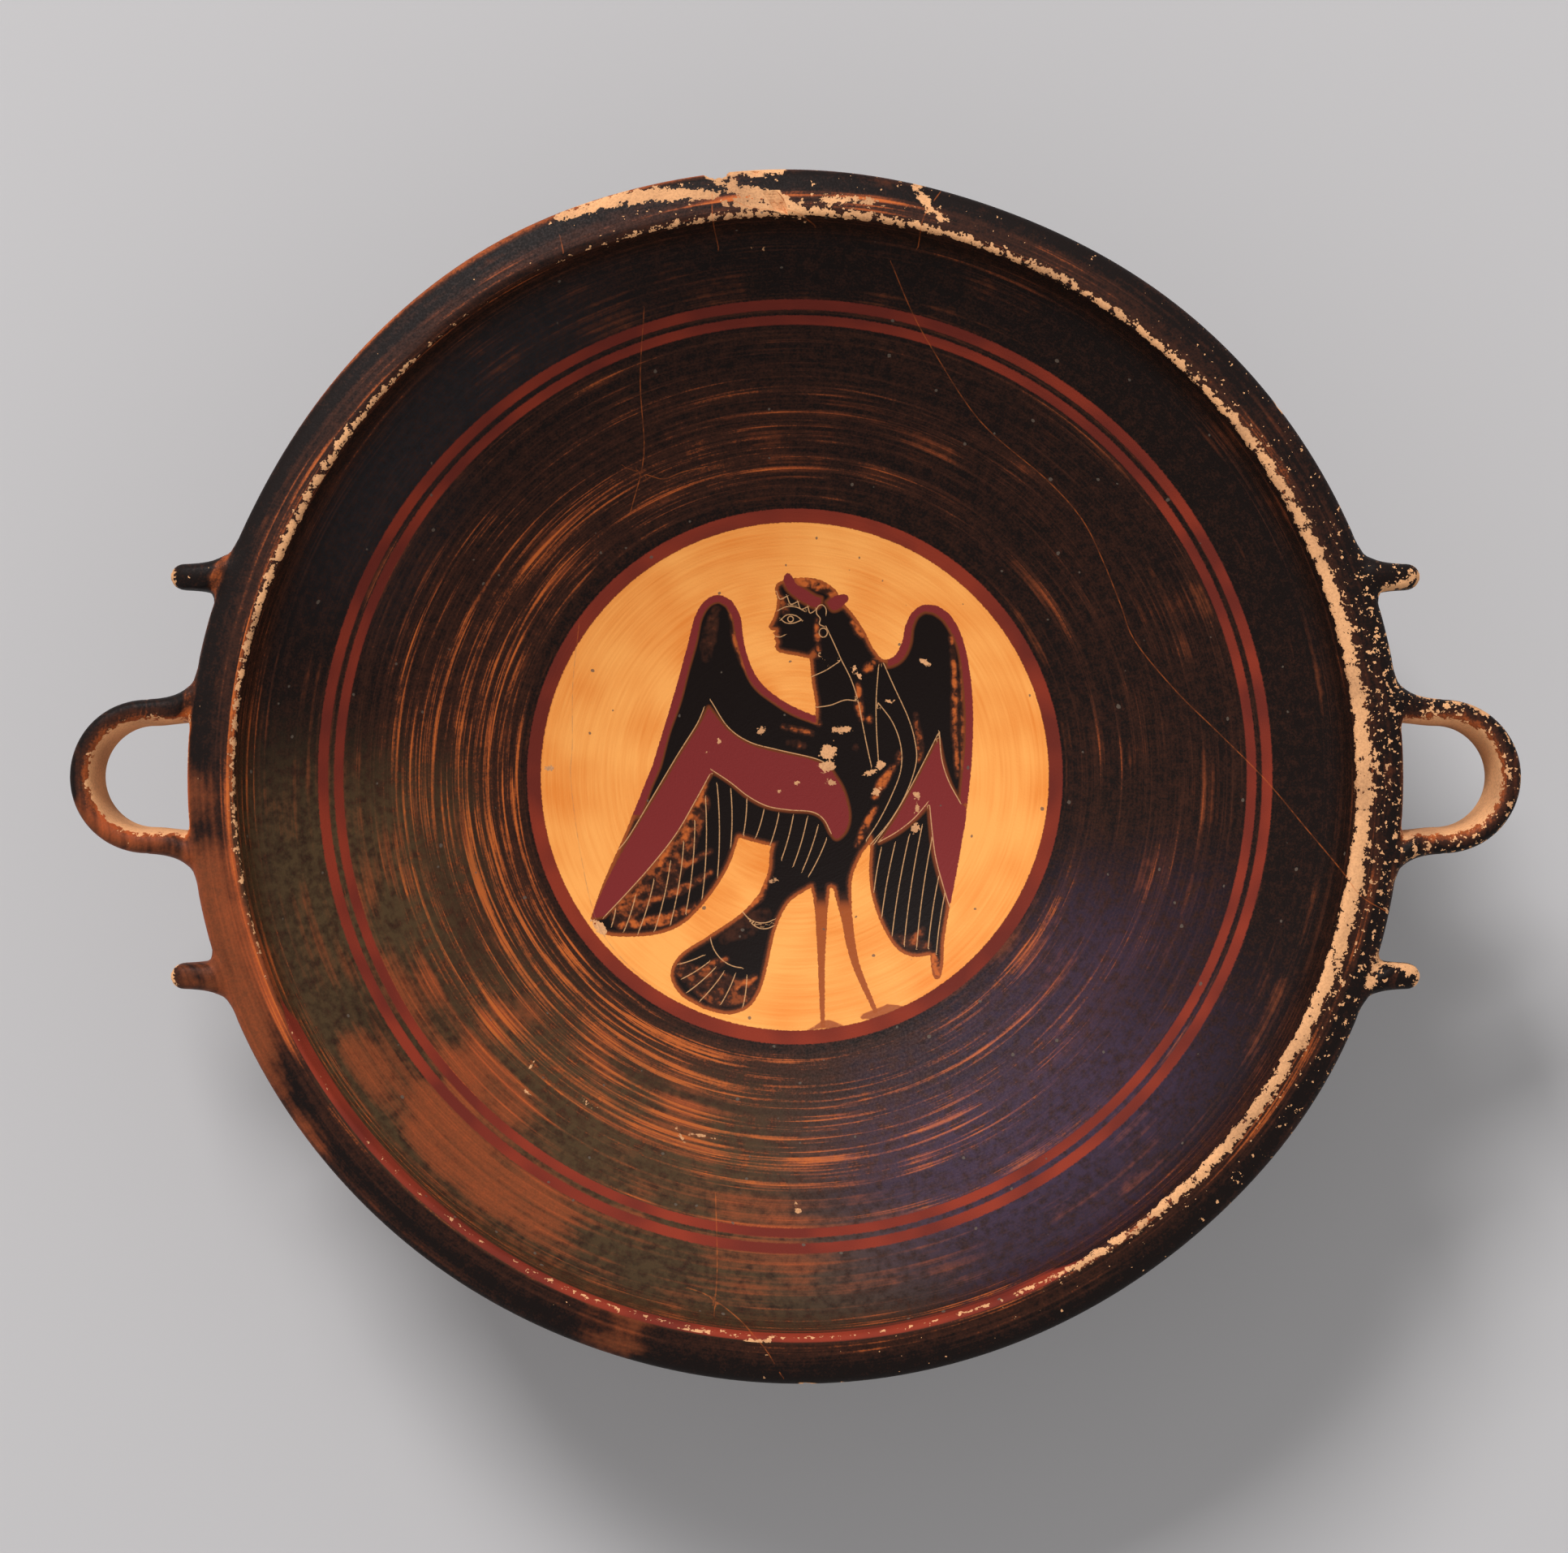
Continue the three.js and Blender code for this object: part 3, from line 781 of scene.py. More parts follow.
dressCuts = [  # beside the red bands of the wings
    [(-21.9, 19.8), (-17.4, 12.9), (-11.8, 9), (-4.6, 7), (4.6, 4.9), (8.4, 3.4)],
    [(-21.6, 1.7), (-16.8, -1.5), (-12.2, -5.1), (-7.2, -7.7), (-1.6, -8.7), (4.4, -9.2), (7.5, -11.1),
     (9.4, -14.6)],
    [(-23.6, 17.8), (-25.6, 13.4), (-30.4, 5.8), (-36.8, -5), (-43, -15.4), (-45.6, -18.8)],
    [(-22.2, 0.4), (-25.6, -5.8), (-30.8, -14.8), (-37, -22.8), (-43.2, -29.8), (-49.4, -36.4)],
    [(37.6, 11.6), (38.2, 4.6), (40, -1.2), (43, -6.8)],
    [(37.2, 11), (33.8, 4.2), (29.6, -3.8), (25.2, -11.2), (20.6, -17.6)],
    [(34.6, -6.8), (30.8, -11.1), (26.4, -14.5), (22, -17)],
    [(35.1, -7.6), (35.7, -14), (36.6, -21), (38.4, -28), (40.2, -34)],
]
tailArcs = [  # across the root of the tail: centre, radii, from and to which direction
    ((-8.5, -30.5), (6.4, 7.6), 195, 300),
    ((-8, -33.4), (5, 6.2), 215, 300),
    ((-13.4, -40.6), (8.6, 9), 190, 268),
]
bodyCuts = [
    [(8.2, 38.8), (10.2, 34.6), (12.2, 30.2), (14.6, 25.4), (16.4, 20), (17.6, 14), (18.8, 8), (20, 2.6)],
    [(4.4, 26), (8, 27.6), (11.6, 29.9)],  # neckline and collar
    [(5.6, 18), (9.4, 18.6), (13, 19.9), (16, 19.7)],
    [(21.8, 28.8), (21.2, 20), (21.3, 12), (21.8, 4)],
    [(23.2, 29.2), (26, 23), (29.4, 15.6), (31.2, 9.6), (31.6, 3.6), (29, -4.4), (24.8, -11.6),
     (19.8, -17.6)],
    [(21.4, 19.6), (25.4, 14.2), (27.6, 8), (27.6, 1.6), (25.2, -5), (22, -11.4), (18.6, -16.6)],
]
faceCuts = {
    "eyeUpper": [(-3.6, 40.8), (-2, 42), (0.2, 41.8), (1.8, 40.7)],
    "eyeLower": [(1.8, 40.7), (-0.2, 39.9), (-2.2, 39.9), (-3.6, 40.8)],
    "brow": [(-4.4, 43.1), (-2.2, 44.1), (0.4, 44), (2.6, 42.9)],
    "mouth": [(-5, 36.5), (-3.8, 36.3), (-2.6, 36.8)],
    "lobe": [(5.7, 42.2), (6.6, 41), (6.4, 39.6), (7.6, 39)],
    "fringeEnds": [(-4.7, 47.9), (-2, 46.8), (0.8, 45.4), (3.4, 44.1), (5.6, 43.4)],
}


def featherLines():
    # the quills of both wings and of the tail
    return [line for feathers in featherSets for line in between(*feathers)]


def dressLines():
    # the edges of the red bands, and arcs across the tail
    return [smoothLine(cut, 8) for cut in dressCuts] + [arcLine(*arc) for arc in tailArcs]


def bodyLines():
    # a lock of hair, the dress and the roots of the wings
    return [smoothLine(cut, 8) for cut in bodyCuts]


def faceLines():
    # a plain almond eye with its round iris, a brow, a closed mouth, an ear, and a fringe of scallops
    line = {name: smoothLine(points, 6) for name, points in faceCuts.items()}
    eye = np.vstack([line["eyeUpper"], line["eyeLower"]])
    iris = arcLine((-1.1, 40.9), (0.75, 0.75), 0, 360, 12)
    ear = np.vstack([arcLine((6.9, 42.8), (1.3, 1.8), -20, 200, 12), line["lobe"]])
    earring = arcLine((7.4, 37.4), (1.1, 1.2), 0, 360, 12)
    fringe = []
    for (x0, y0), (x1, y1) in zip(faceCuts["fringeEnds"][:-1], faceCuts["fringeEnds"][1:]):
        fringe.append(smoothLine([(x0, y0), ((x0 + x1) / 2 - 0.5, (y0 + y1) / 2 - 1.3), (x1, y1)], 6))
    return [eye, iris, line["mouth"], line["brow"], earring, ear, *fringe]


# where the brush left the figure's glaze thin: a line, its width and how thin, 1 being bare
thinStrokes = [
    [(-23.4, -2.4), (-26, -8), (-29, -12), 2.4, 0.8],
    [(-28.2, -11), (-28.6, -17), 2.2, 0.8],
    [(-32.6, -17.4), (-35, -23), 2.2, 0.75],
    [(-22, -19.4), (-28, -22.6), (-34, -26), 1.8, 0.6],
    [(-22, -25), (-29, -29), (-38, -32.4), 2.4, 0.6],
    [(-26, -33.6), (-34, -37), (-45, -38.6), 3.0, 0.75],
    [(-40, -30), (-46, -34), 3.2, 0.7],
    [(-34.6, 11), (-37, 3.6), 2.4, 0.8],
    [(-20.4, 43.6), (-22.4, 36), (-23, 31), 4.0, 0.35],
    [(-16.6, 44), (-15.6, 36), (-12.4, 28), (-8, 22), (-2, 18.4), (6.4, 13.8), 1.6, 0.75],
    [(16.6, 24), (16.8, 18), (17.4, 15), 1.9, 0.85],
    [(19.4, 15.4), (19.6, 14.6), 1.6, 0.8],
    [(15.8, 7.8), (16, 7.2), 1.4, 0.7],
    [(27.2, 6), (26.8, 4), 1.8, 0.8],
    [(25.6, 2.4), (22.8, -1.6), (20.8, -5.4), 2.4, 0.85],
    [(21, -8), (18.6, -12.6), (16.2, -17.8), 1.8, 0.9],
    [(31.4, 16), (32.4, 9), (32.6, 4), 1.6, 0.7],
    [(40.4, 38), (41.4, 26), (41.6, 12), (42.4, 0), 1.4, 0.75],
    [(43, 30), (43.6, 14), (43.4, 2), 1.0, 0.6],
    [(-3, 13), (4.6, 11.2), 1.3, 0.75],
    [(-1.6, 8.8), (2.4, 8), 1.8, 0.55],
    [(20.2, 29.4), (18.6, 28), 2.6, 0.85],
    [(5.6, 41), (6.2, 33), 1.5, 0.7],
    [(-2, 50.4), (3, 50.6), (8, 49.4), (10.8, 46.6), 3.6, 0.85],
    [(-3.4, 46), (-2.6, 43), 3.0, 0.6],
    [(15, 40), (17.6, 36.6), 2.2, 0.7],
    [(-7, -24), (-9, -31), (-13.6, -35), 2.0, 0.75],
    [(-24, -50), (-18, -47.6), 2.4, 0.6],
    [(-15, -55), (-10.4, -52), 2.0, 0.7],
    [(30.6, -43.4), (33, -40), 2.4, 0.55],
    [(-25, -7), (-31, -19), (-38, -28), (-45, -36), 11.0, 0.5],
    [(-29, -50), (-20, -55), (-12, -56), 9.0, 0.45],
    [(-18, -42), (-8, -36), 6.0, 0.3],
    [(36, -46), (37, -51), 2.6, 0.8],
    [(26, -42), (34, -44), 4.0, 0.4],
]

# flakes that fell off the figure and bared the clay: middle, half length, half width, turn in degrees
flakes = [
    (8.8, 6.2, 2.3, 1.7, 10), (8.6, 2.4, 1.6, 1.9, 80), (9.0, -1.4, 1.0, 0.8, 0), (12.2, 12, 2.0, 0.8, 5),
    (10.6, 9.4, 0.9, 0.4, 20), (16.4, 26.6, 1.8, 0.5, -58), (22.2, 3, 1.0, 0.9, 30),
    (20.2, 1.2, 1.5, 0.6, 15), (21.4, -4, 1.3, 0.8, 30), (31.8, -5, 0.9, 0.7, 0),
    (31.6, -8.6, 1.0, 0.6, 70), (31.6, -13.6, 1.4, 0.9, 60), (-8.9, 11.9, 1.1, 0.8, 15),
    (-4.2, -3.6, 0.9, 0.8, 0), (-19.6, 9.2, 0.8, 0.6, 60), (0.6, -1.6, 0.5, 0.4, 0),
    (-4.4, -27, 1.4, 0.4, 5), (24.6, 19.4, 0.6, 0.4, 0), (33.6, 29.8, 0.8, 0.3, -40),
    (-22.3, 6.3, 0.6, 0.4, 0), (1, 10.6, 0.4, 0.4, 0), (-50.4, -39, 2.4, 1.2, -50),
    (8, 30.2, 0.9, 0.3, -40),
]


def thinness(places):
    # the strongest of the thin strokes at each place, each fading out over half its width
    thin = np.zeros(len(places))
    for *points, width, strength in thinStrokes:
        inside = strokeField(points, [width * 0.5, width, width * 0.5], places)
        thin = np.maximum(thin, strength * blend(-0.9, 0.5, inside))
    return thin


def silhouette(places):
    # distance in from the figure's edge, and from the edges of its parts
    shapes = {name: insideField(outlineOf(strokes), places) for name, strokes in sirenShapes.items()}
    shapes["legs"] = np.maximum(
        strokeField([(6.6, -26), (6.9, -34), (6.9, -48), (7.2, -64.5)], [6.0, 3.4, 1.8, 1.1], places),
        strokeField([(12, -26), (13.4, -36), (15.6, -48), (20.8, -60.6)], [5.4, 3.0, 2.0, 1.1], places),
    )
    shapes["figure"] = np.maximum.reduce(list(shapes.values()))
    return shapes


def sirenFields(places):
    # all that the figure's paint needs at each place in plan, in millimetres
    shapes = silhouette(places)
    feet = np.maximum(
        strokeField([(3.4, -65.6), (8.4, -64), (14, -65.4)], [0.6, 2.4, 0.8], places),
        strokeField([(17.6, -62), (24, -61), (30, -60.2)], [1.6, 4.6, 1.2], places),
    )
    x, y = places[:, 0], places[:, 1]
    wings = tondo["contourWidth"] + 0.25 * np.sin(0.35 * x) * np.cos(0.3 * y)
    leftEdge = np.minimum(wings - shapes["leftWing"], np.minimum(shapes["leftWing"], 0.35 * (y + 10)))
    rightEdge = np.minimum(wings - shapes["rightWing"], np.minimum(shapes["rightWing"], 0.35 * (y + 7)))
    rightEdge = np.minimum(rightEdge, x - 24.2)
    leftEdge = np.minimum(leftEdge, 5.6 - x)
    red = np.maximum.reduce(
        [insideField(outlineOf(strokes), places) for strokes in sirenRed.values()]
        + [np.where(leftEdge < 0, leftEdge * 1.5, leftEdge), rightEdge]
    )
    lower = blend(-28, -35, y) * (shapes["legs"] >= shapes["figure"])
    fields = {
        "figure": shapes["figure"],
        "redPaint": red,
        "thinGlaze": thinness(places),
        "dilute": tondo["dilute"] * lower,
        "feet": feet,
        "flake": ellipses(places, flakes),
    }
    onFigure = shapes["figure"] > -0.8
    for name, lines in cutLines().items():
        for part, values in zip(("Side", "Near"), cutField(lines, places[onFigure])):
            fields[name + part] = np.full(len(places), far["line"])
            fields[name + part][onFigure] = values
    return fields


def cutLines():
    # sets of cut lines: lines that run close beside each other are in different sets
    feathers, face = featherLines(), faceLines()
    return {
        "feather": feathers[::2],
        "quill": feathers[1::2],
        "dress": dressLines(),
        "body": bodyLines(),
        "face": face[::2],
        "hair": face[1::2],
    }


# wear, firing, and painted sheen and reflection of the lamps, over the whole cup, by direction in degrees
# anticlockwise from +X
wear = {
    # how far the glaze is worn off outwards from the rim's inner edge: direction and millimetres
    "innerEdge": [
        (0, 3.4), (18, 3.0), (30, 2.4), (42, 1.7), (55, 1.2), (75, 1.3), (88, 1.6), (100, 1.1), (118, 0.7),
        (131, 1.0), (142, 1.3), (158, 1.1), (180, 0.6), (200, 0.1), (216, -0.5), (240, -0.5), (268, -0.4),
        (292, -0.1), (302, 1.6), (318, 2.7), (335, 3.4), (350, 3.7), (360, 3.4),
    ],
    # how thickly small flakes are strewn over the rim's top and the handles
    "flakes": [
        (0, 0.88), (22, 0.74), (40, 0.5), (60, 0.35), (85, 0.45), (100, 0.55), (125, 0.2), (160, 0.22),
        (180, 0.25), (205, 0.1), (240, 0.12), (262, 0.3), (290, 0.3), (315, 0.5), (335, 0.7), (350, 0.84),
        (360, 0.88),
    ],
}

firingAndSheen = {  # patches that met air in the kiln (orange, olive), and a painted violet sheen and painted grey reflection of the lamps on the black slip: middle and half width in degrees, middle and half width in millimetres from the axis, and strength
    # width in millimetres from the axis, and strength
    "orange": [
        (227, 19, 124.5, 8.5, 0.8), (220, 17, 109, 6, 0.75), (235, 26, 94, 14, 0.4), (212, 14, 120, 12, 0.4),
        (196, 12, 148, 9.5, 1.0), (200, 11, 152, 12, 1.0), (251, 4, 144, 7, 0.85), (190, 9, 168, 24, 1.0),
        (258, 22, 118, 18, 0.34), (190, 14, 112, 20, 0.3),
    ],
    "olive": [
        (195, 16, 116, 24, 1.0), (192, 14, 96, 14, 0.6), (212, 18, 131, 7, 0.9), (240, 34, 110, 28, 0.85),
        (262, 22, 122, 14, 0.8),
    ],
    # painted sheen: the key light's broad highlight on the black slip in the lower right of the bowl, laid on
    # as a violet tint
    "paintedVioletSheen": [
        (303, 26, 108, 22, 1.0), (318, 22, 88, 16, 0.8), (300, 14, 128, 8, 0.7), (330, 16, 100, 14, 0.4),
        (290, 10, 80, 6, 0.4),
    ],
    # painted reflection: a grey speckled band of reflected light on the black slip near the crease, upper
    # left
    "paintedGreyReflection": [(136, 22, 126, 8, 1.0), (150, 12, 112, 6, 0.35)],
}

# colours laid over the black: the kiln's olive, and a painted violet sheen and painted grey reflection of the
# lamps; how strong at most, and the noise that breaks them up
kilnTintsAndSheen = {"olive": (0.8, "mottle"), "paintedGreyReflection": (0.3, "grain"), "paintedVioletSheen": (0.5, "mottle")}

openBowl = [  # how open the brushing is between the picture and the red lines, by direction
    (0, 0.36), (30, 0.3), (60, 0.32), (90, 0.46), (120, 0.64), (150, 0.78), (180, 1.1), (205, 1.35),
    (230, 1.4), (255, 1.3), (280, 1.0), (300, 0.72), (330, 0.52), (360, 0.36),
]

cracks = [  # in plan, in millimetres
    [(24, 127.5), (29, 117), (34.6, 107.7), (47.2, 90), (63.8, 75.7), (73, 65.5), (78.4, 55.1), (83, 44),
     (86.8, 34.5), (97, 21.6), (106.6, 11.6), (118, -0.7), (127.2, -12.8), (133.6, -21.4), (138.5, -29),
     (147, -34)],
    [(-55.7, 39.1), (-57.4, 24), (-57.6, 8), (-58, -0.7), (-55.8, -18), (-51.6, -36.4), (-45.6, -46),
     (-37.9, -53.1)],
    [(-37.8, 117), (-39.2, 99.9), (-38.6, 82.2), (-42.2, 68)],
    [(-43.8, 79.1), (-37, 77), (-33.5, 76.3), (-29, 78), (-23.1, 79.4)],
    [(-20.1, -106), (-19.5, -122.4), (-20.1, -133)],
    [(-3.2, -147.7), (-9.2, -138.3), (-20.4, -129.7), (-27, -127)],
    [(-58.8, 137), (-57, 128.9)],
    [(-20.5, 143.3), (-20.3, 136.9), (-19, 131)],
    [(36.5, 145), (31.6, 137.6), (30.4, 131)],
    [(-16, 141.8), (-10, 139.4), (-1.4, 139), (5, 136)],
]

rimLosses = [  # strips of the rim, a handle and spurs that lost their glaze: in plan, and their width
    [(-58, 137.5), (-48, 141), (-36, 143), (-26, 143.4), (-20, 143), 3.6],
    [(-20, 147.6), (-16, 145), (-10, 143), (-4, 141.4), (2, 138.4), 3.8],
    [(-17, 141), (-10, 140), (-3, 139), 2.6],
    [(-16, 149.2), (-10, 149.6), (-4, 149.4), 4.0],
    [(27, 149), (30, 145), (33, 140), (36.5, 137), 2.0],
    [(4, 141.6), (13, 141.8), (23, 140.6), 1.5],
    [(154.3, 20.2), (164, 19.6), (170.4, 16), 2.4],
    [(144, 45.6), (148.4, 46.8), (153, 49.8), 2.4],
    [(140.8, -51.7), (144.6, -45.2), (152.7, -48), 2.2],
]

scars = [  # old losses in the bowl, bare or filled: middle, half length, half width, turn in degrees
    (-66.3, -73, 1.6, 0.8, 40), (-58.6, -79.6, 3.0, 0.5, -38), (-51.9, -83.3, 2.0, 0.4, -30),
    (-29, -91.2, 1.6, 0.5, -60), (-26, -91.6, 3.2, 0.45, -8), (0.8, -110.4, 1.3, 0.8, 0),
    (0.6, -107.2, 1.1, 0.5, 60), (-63.6, 2.2, 1.0, 0.7, 0), (-24, -136, 5, 0.5, -8),
    (-10, -138.6, 4.4, 0.5, 2), (-67.4, -80.4, 1.2, 0.5, -40), (78.6, -0.8, 0.9, 0.7, 0),
    (-9.4, 131, 2.4, 0.3, 0), (-12, 96, 0.9, 0.7, 0),
]


rimZone = {  # millimetres
    "low": 90.0,  # what is higher belongs to the rim
    "outside": 152.0,  # what is farther out belongs to a handle or a spur
}
brushing = {  # from where to where it opens and closes again, in millimetres from the axis
    "bowl": (69, 73, 100, 112),
    "rings": (106, 113, 114, 122),
    "lip": (131, 134, 138, 139),
    "rim": (137.8, 139.3, 141.8, 146.3),
    "lipStart": 131.0,
}


def ellipses(places, patches):
    # distance in from the edge of the nearest ellipse, about right, positive inside it
    field = np.full(len(places), far["out"])
    for x, y, a, b, turn in patches:
        c, s = math.cos(math.radians(turn)), math.sin(math.radians(turn))
        dx, dy = places[:, 0] - x, places[:, 1] - y
        reach = np.hypot((dx * c + dy * s) / a, (dy * c - dx * s) / b)
        field = np.maximum(field, (1 - reach) * min(a, b))
    return field


def turnFrom(degrees, at):
    # how far a direction is from another, from -180 to 180 degrees
    return (degrees - at + 540) % 360 - 180


def patchField(degrees, radius, patches):
    # soft patches: each falls off in direction and in distance from the axis, as e^(-0.7 away^4)
    field = np.zeros(len(degrees))
    for at, spread, middle, reach, strength in patches:
        away = (turnFrom(degrees, at) / spread) ** 4 + ((radius - middle) / reach) ** 4
        field = np.maximum(field, strength * np.exp(-0.7 * away))
    return field


def aroundRim(degrees, table):
    # a value given at a few directions, run smoothly from one to the next
    at, value = np.array(table).T
    return np.interp(degrees, at, value)


def cupRegions(p):
    # where each place lies: polar in plan, out from the rim's inner edge, down from its highest line,
    # and whether it faces the bowl or the rim's top
    x, y, z = p.T
    radius = np.hypot(x, y)
    crease, crestRadius = cup["creaseRadius"], cup["crestRadius"]
    onBowl = (radius < crease + 0.6) & (np.abs(z - insideHeight(np.minimum(radius, crease + 2))) < 2)
    onLip = (radius > crease - 2) & (radius < crestRadius + 1.5) & (z > creaseHeight - 1)
    return {
        "x": x,
        "y": y,
        "z": z,
        "radius": radius,
        "degrees": np.degrees(np.arctan2(y, x)) % 360,
        "crest": radius - crestRadius,
        "depth": cup["height"] - z,
        "inside": onBowl | onLip,
        "onTop": (radius > crease) & (z > rimZone["low"]) & (radius < rimZone["outside"]),
    }


def openZone(radius, name):
    # rises from 0 to 1 and falls again, over the four distances of a zone
    start, full, end, gone = brushing[name]
    return blend(start, full, radius) * (1 - blend(end, gone, radius))


def slipFields(at):
    # how thick the slip lies, 1 black and 0 bare, and how open its brush marks are
    radius, degrees = at["radius"], at["degrees"]
    opening = aroundRim(degrees, openBowl)
    lip = openZone(radius, "lip") * np.clip(opening, 0.2, 1)
    rim = openZone(radius, "rim")
    streaky = (0.2 + 0.8 * openZone(radius, "bowl")) * opening + 0.35 * openZone(radius, "rings")
    onLip = radius > brushing["lipStart"]
    streaky = np.where(onLip, 0.25 + 0.45 * lip + 0.55 * rim, streaky)
    glaze = np.where(onLip, 0.92 - 0.12 * lip - 0.12 * rim, 0.86 - 0.1 * streaky)
    outerLine = blend(cup["rimRadius"] - 1.1, cup["rimRadius"] - 0.2, radius)
    outerLine *= (radius < rimZone["outside"]) & (at["z"] > 92)
    upperLeft = np.clip(1.4 - np.abs(turnFrom(degrees, 125)) / 60, 0, 1)
    return glaze - 0.55 * outerLine * upperLeft, streaky


def redBand(at):
    # distance in from the edge of the red band along the lower half of the rim's inner edge
    lowerHalf = blend(198, 208, at["degrees"]) * (1 - blend(296, 308, at["degrees"]))
    band = 1.25 - np.abs(at["crest"] - 0.1) - 3 * (1 - lowerHalf)
    return np.where(at["onTop"] & (at["depth"] < 6), band, far["out"])


def wornRim(p, at):
    # distance in from the border of bare clay along the rim's inner edge, and of the lost strips
    edge = aroundRim(at["degrees"], wear["innerEdge"])
    worn = np.where(at["onTop"], np.minimum(edge - at["crest"], 0.7 + edge * 0.12 - at["depth"]), far["out"])
    chippedSide = np.abs(at["degrees"] - 92) < 24
    near = (at["z"] > rimZone["low"]) & (at["crest"] > -2.5) & (chippedSide | (at["x"] > 138))
    for *points, width in rimLosses:
        stroke = strokeField(points, [width * 0.6, width, width * 0.6], p[near][:, :2])
        worn[near] = np.maximum(worn[near], stroke)
    return worn


def loopFaces(at):
    # distance in from the border of bare clay on the inner faces of the handles
    wide, y = np.abs(at["x"]), at["y"]
    bend = ribbon["reach"] - ribbon["loopRadius"]
    fromLoop = np.hypot(np.maximum(wide - bend, 0), y) - (ribbon["loopRadius"] - ribbon["thickness"])
    face = np.minimum(1.5 - fromLoop, ribbon["top"] - 1.4 - at["z"])
    face = np.where((wide > cup["rimRadius"] - 4) & (np.abs(y) < 24), face, far["out"])
    return np.minimum(face, 0.5 * (wide - cup["rimRadius"] + 0.5))


def footHollow(radius):
    # the hollow's height under the foot, near enough to tell it from the outside
    share = np.clip(radius / (cup["footRadius"] - cup["footRing"]), 0, 1)
    return cup["hollowHeight"] * (1 - share**2.2)


def footFaces(at):
    # bare clay on the foot's edge, under it and in its hollow
    radius, z = at["radius"], at["z"]
    foot = (radius < cup["footRadius"] + 1) & (z < cup["footEdge"] + 0.3)
    hollow = (radius < cup["footRadius"]) & (z < cup["hollowHeight"] + 0.5) & (footHollow(radius) > z - 1)
    return np.where(foot | hollow, 3.0, far["out"])


def bowlFields(p):
    # all that the material needs at each place of the cup outside the picture
    at = cupRegions(p)
    x, y, radius, degrees, inside = at["x"], at["y"], at["radius"], at["degrees"], at["inside"]
    glaze, streaky = slipFields(at)
    loops = loopFaces(at)
    spurTips = (np.abs(y) > 38) & (radius > rimZone["outside"])
    spurTips = np.where(spurTips, np.abs(x) - spurSize["reach"] + 1.2, far["out"])
    onHandle = blend(cup["rimRadius"], cup["rimRadius"] + 2, radius) * (at["z"] > 70)
    flaked = aroundRim(degrees, wear["flakes"]) * np.maximum(at["onTop"], onHandle)
    crackSide, crackNear = cutField(cracks, p[:, :2])
    fields = {
        "inside": inside,
        "glaze": glaze - 0.5 * blend(-2.4, -0.4, loops),
        "streaky": streaky,
        "bareEdge": np.maximum.reduce([wornRim(p, at), loops, footFaces(at), spurTips]),
        "flaked": flaked * blend(-0.6, 0.4, at["crest"]),
        "orange": patchField(degrees, radius, firingAndSheen["orange"]),
        "crackSide": np.where(inside | at["onTop"], crackSide, far["line"]),
        "crackNear": crackNear,
        "scar": np.where(inside, ellipses(p[:, :2], scars), far["out"]),
        "rimBand": redBand(at),
    }
    # where the kiln's olive, and the painted violet sheen and grey reflection of the lamps, lie in the bowl
    for name in kilnTintsAndSheen:
        fields[name] = patchField(degrees, radius, firingAndSheen[name]) * inside
    return fields


clay = {  # colours as the eye sees them in even light
    "ground": "#fbaa58",  # clay rubbed with ochre and polished: the picture's warm ground
    "groundDeep": "#ea8a3b",
    "bare": "#e3a876",
    "bareDirty": "#a97b58",
    "blackGlaze": "#160e0c",
    "thinBlack": "#3f2217",
    "thinBrown": "#8a4422",
    "thinOrange": "#bb5f2a",
    "redPaint": "#883322",
    "redPaintDeep": "#69281f",
    "wingRed": "#7b2b2a",
    "cutLine": "#cf9c6c",
    "footPaint": "#8f4026",
    "firedOrange": "#aa4f28",
    "firedBrown": "#8c4526",
    "firedDeep": "#6d3a22",
    "olive": "#54412a",
    # the next two are painted light: a violet sheen and a grey reflection of the lamps on the black slip
    "paintedVioletSheen": "#4b3850",
    "paintedGreyReflection": "#35383e",
    "pit": "#5d5248",
}
paint = {name: linear(colour) for name, colour in clay.items()}

# colour of the slip by its thickness, from thin to thick, where it fired black and where air reached it
fired = [(0.12, "thinOrange"), (0.36, "thinBrown"), (0.56, "thinBlack"), (0.86, "blackGlaze")]
misfired = [(0.1, "thinOrange"), (0.35, "firedOrange"), (0.68, "firedBrown"), (0.95, "firedDeep")]

brushMarks = {  # marks in a radian round the axis, millimetres across them, detail and roughness
    "fineMarks": (2.6, 0.83333, 1.6, 0.65),
    "longMarks": (0.9, 2.38095, 2.0, 0.6),
}
clayNoises = {  # millimetres across, detail and roughness
    "clouds": (18.182, 1.0, 0.6),
    "mottle": (2.38095, 2.0, 0.6),
    "grain": (0.58824, 1.0, 0.6),
    "flakes": (1.66667, 2.0, 0.75),
}
finish = {
    "figureSlip": 0.93,  # thickness of the figure's slip
    "pitSpacing": 7.1429,  # millimetres between small pits
    "cutBlur": 0.07,  # soft edge of a cut line, in millimetres
    "crackWidth": 0.2,
    "slipRoughness": (0.46, 0.6),
    "bareRoughness": 0.9,
    "specular": 0.09,
    "ridge": 0.00005,  # height of the brush ridges, in metres
}


def setAttributes(piece, fields):
    # one float for each vertex of a piece, under a name that its material reads
    for name, values in fields.items():
        layer = piece.data.attributes.new(name, "FLOAT", "POINT")
        layer.data.foreach_set("value", np.asarray(values, np.float32))


def folded(tree, operation, values):
    # several values made one by an operation, each with the result so far
    result = values[0]
    for value in values[1:]:
        result = addNode(tree, "Math", {0: result, 1: value}, operation=operation)
    return result


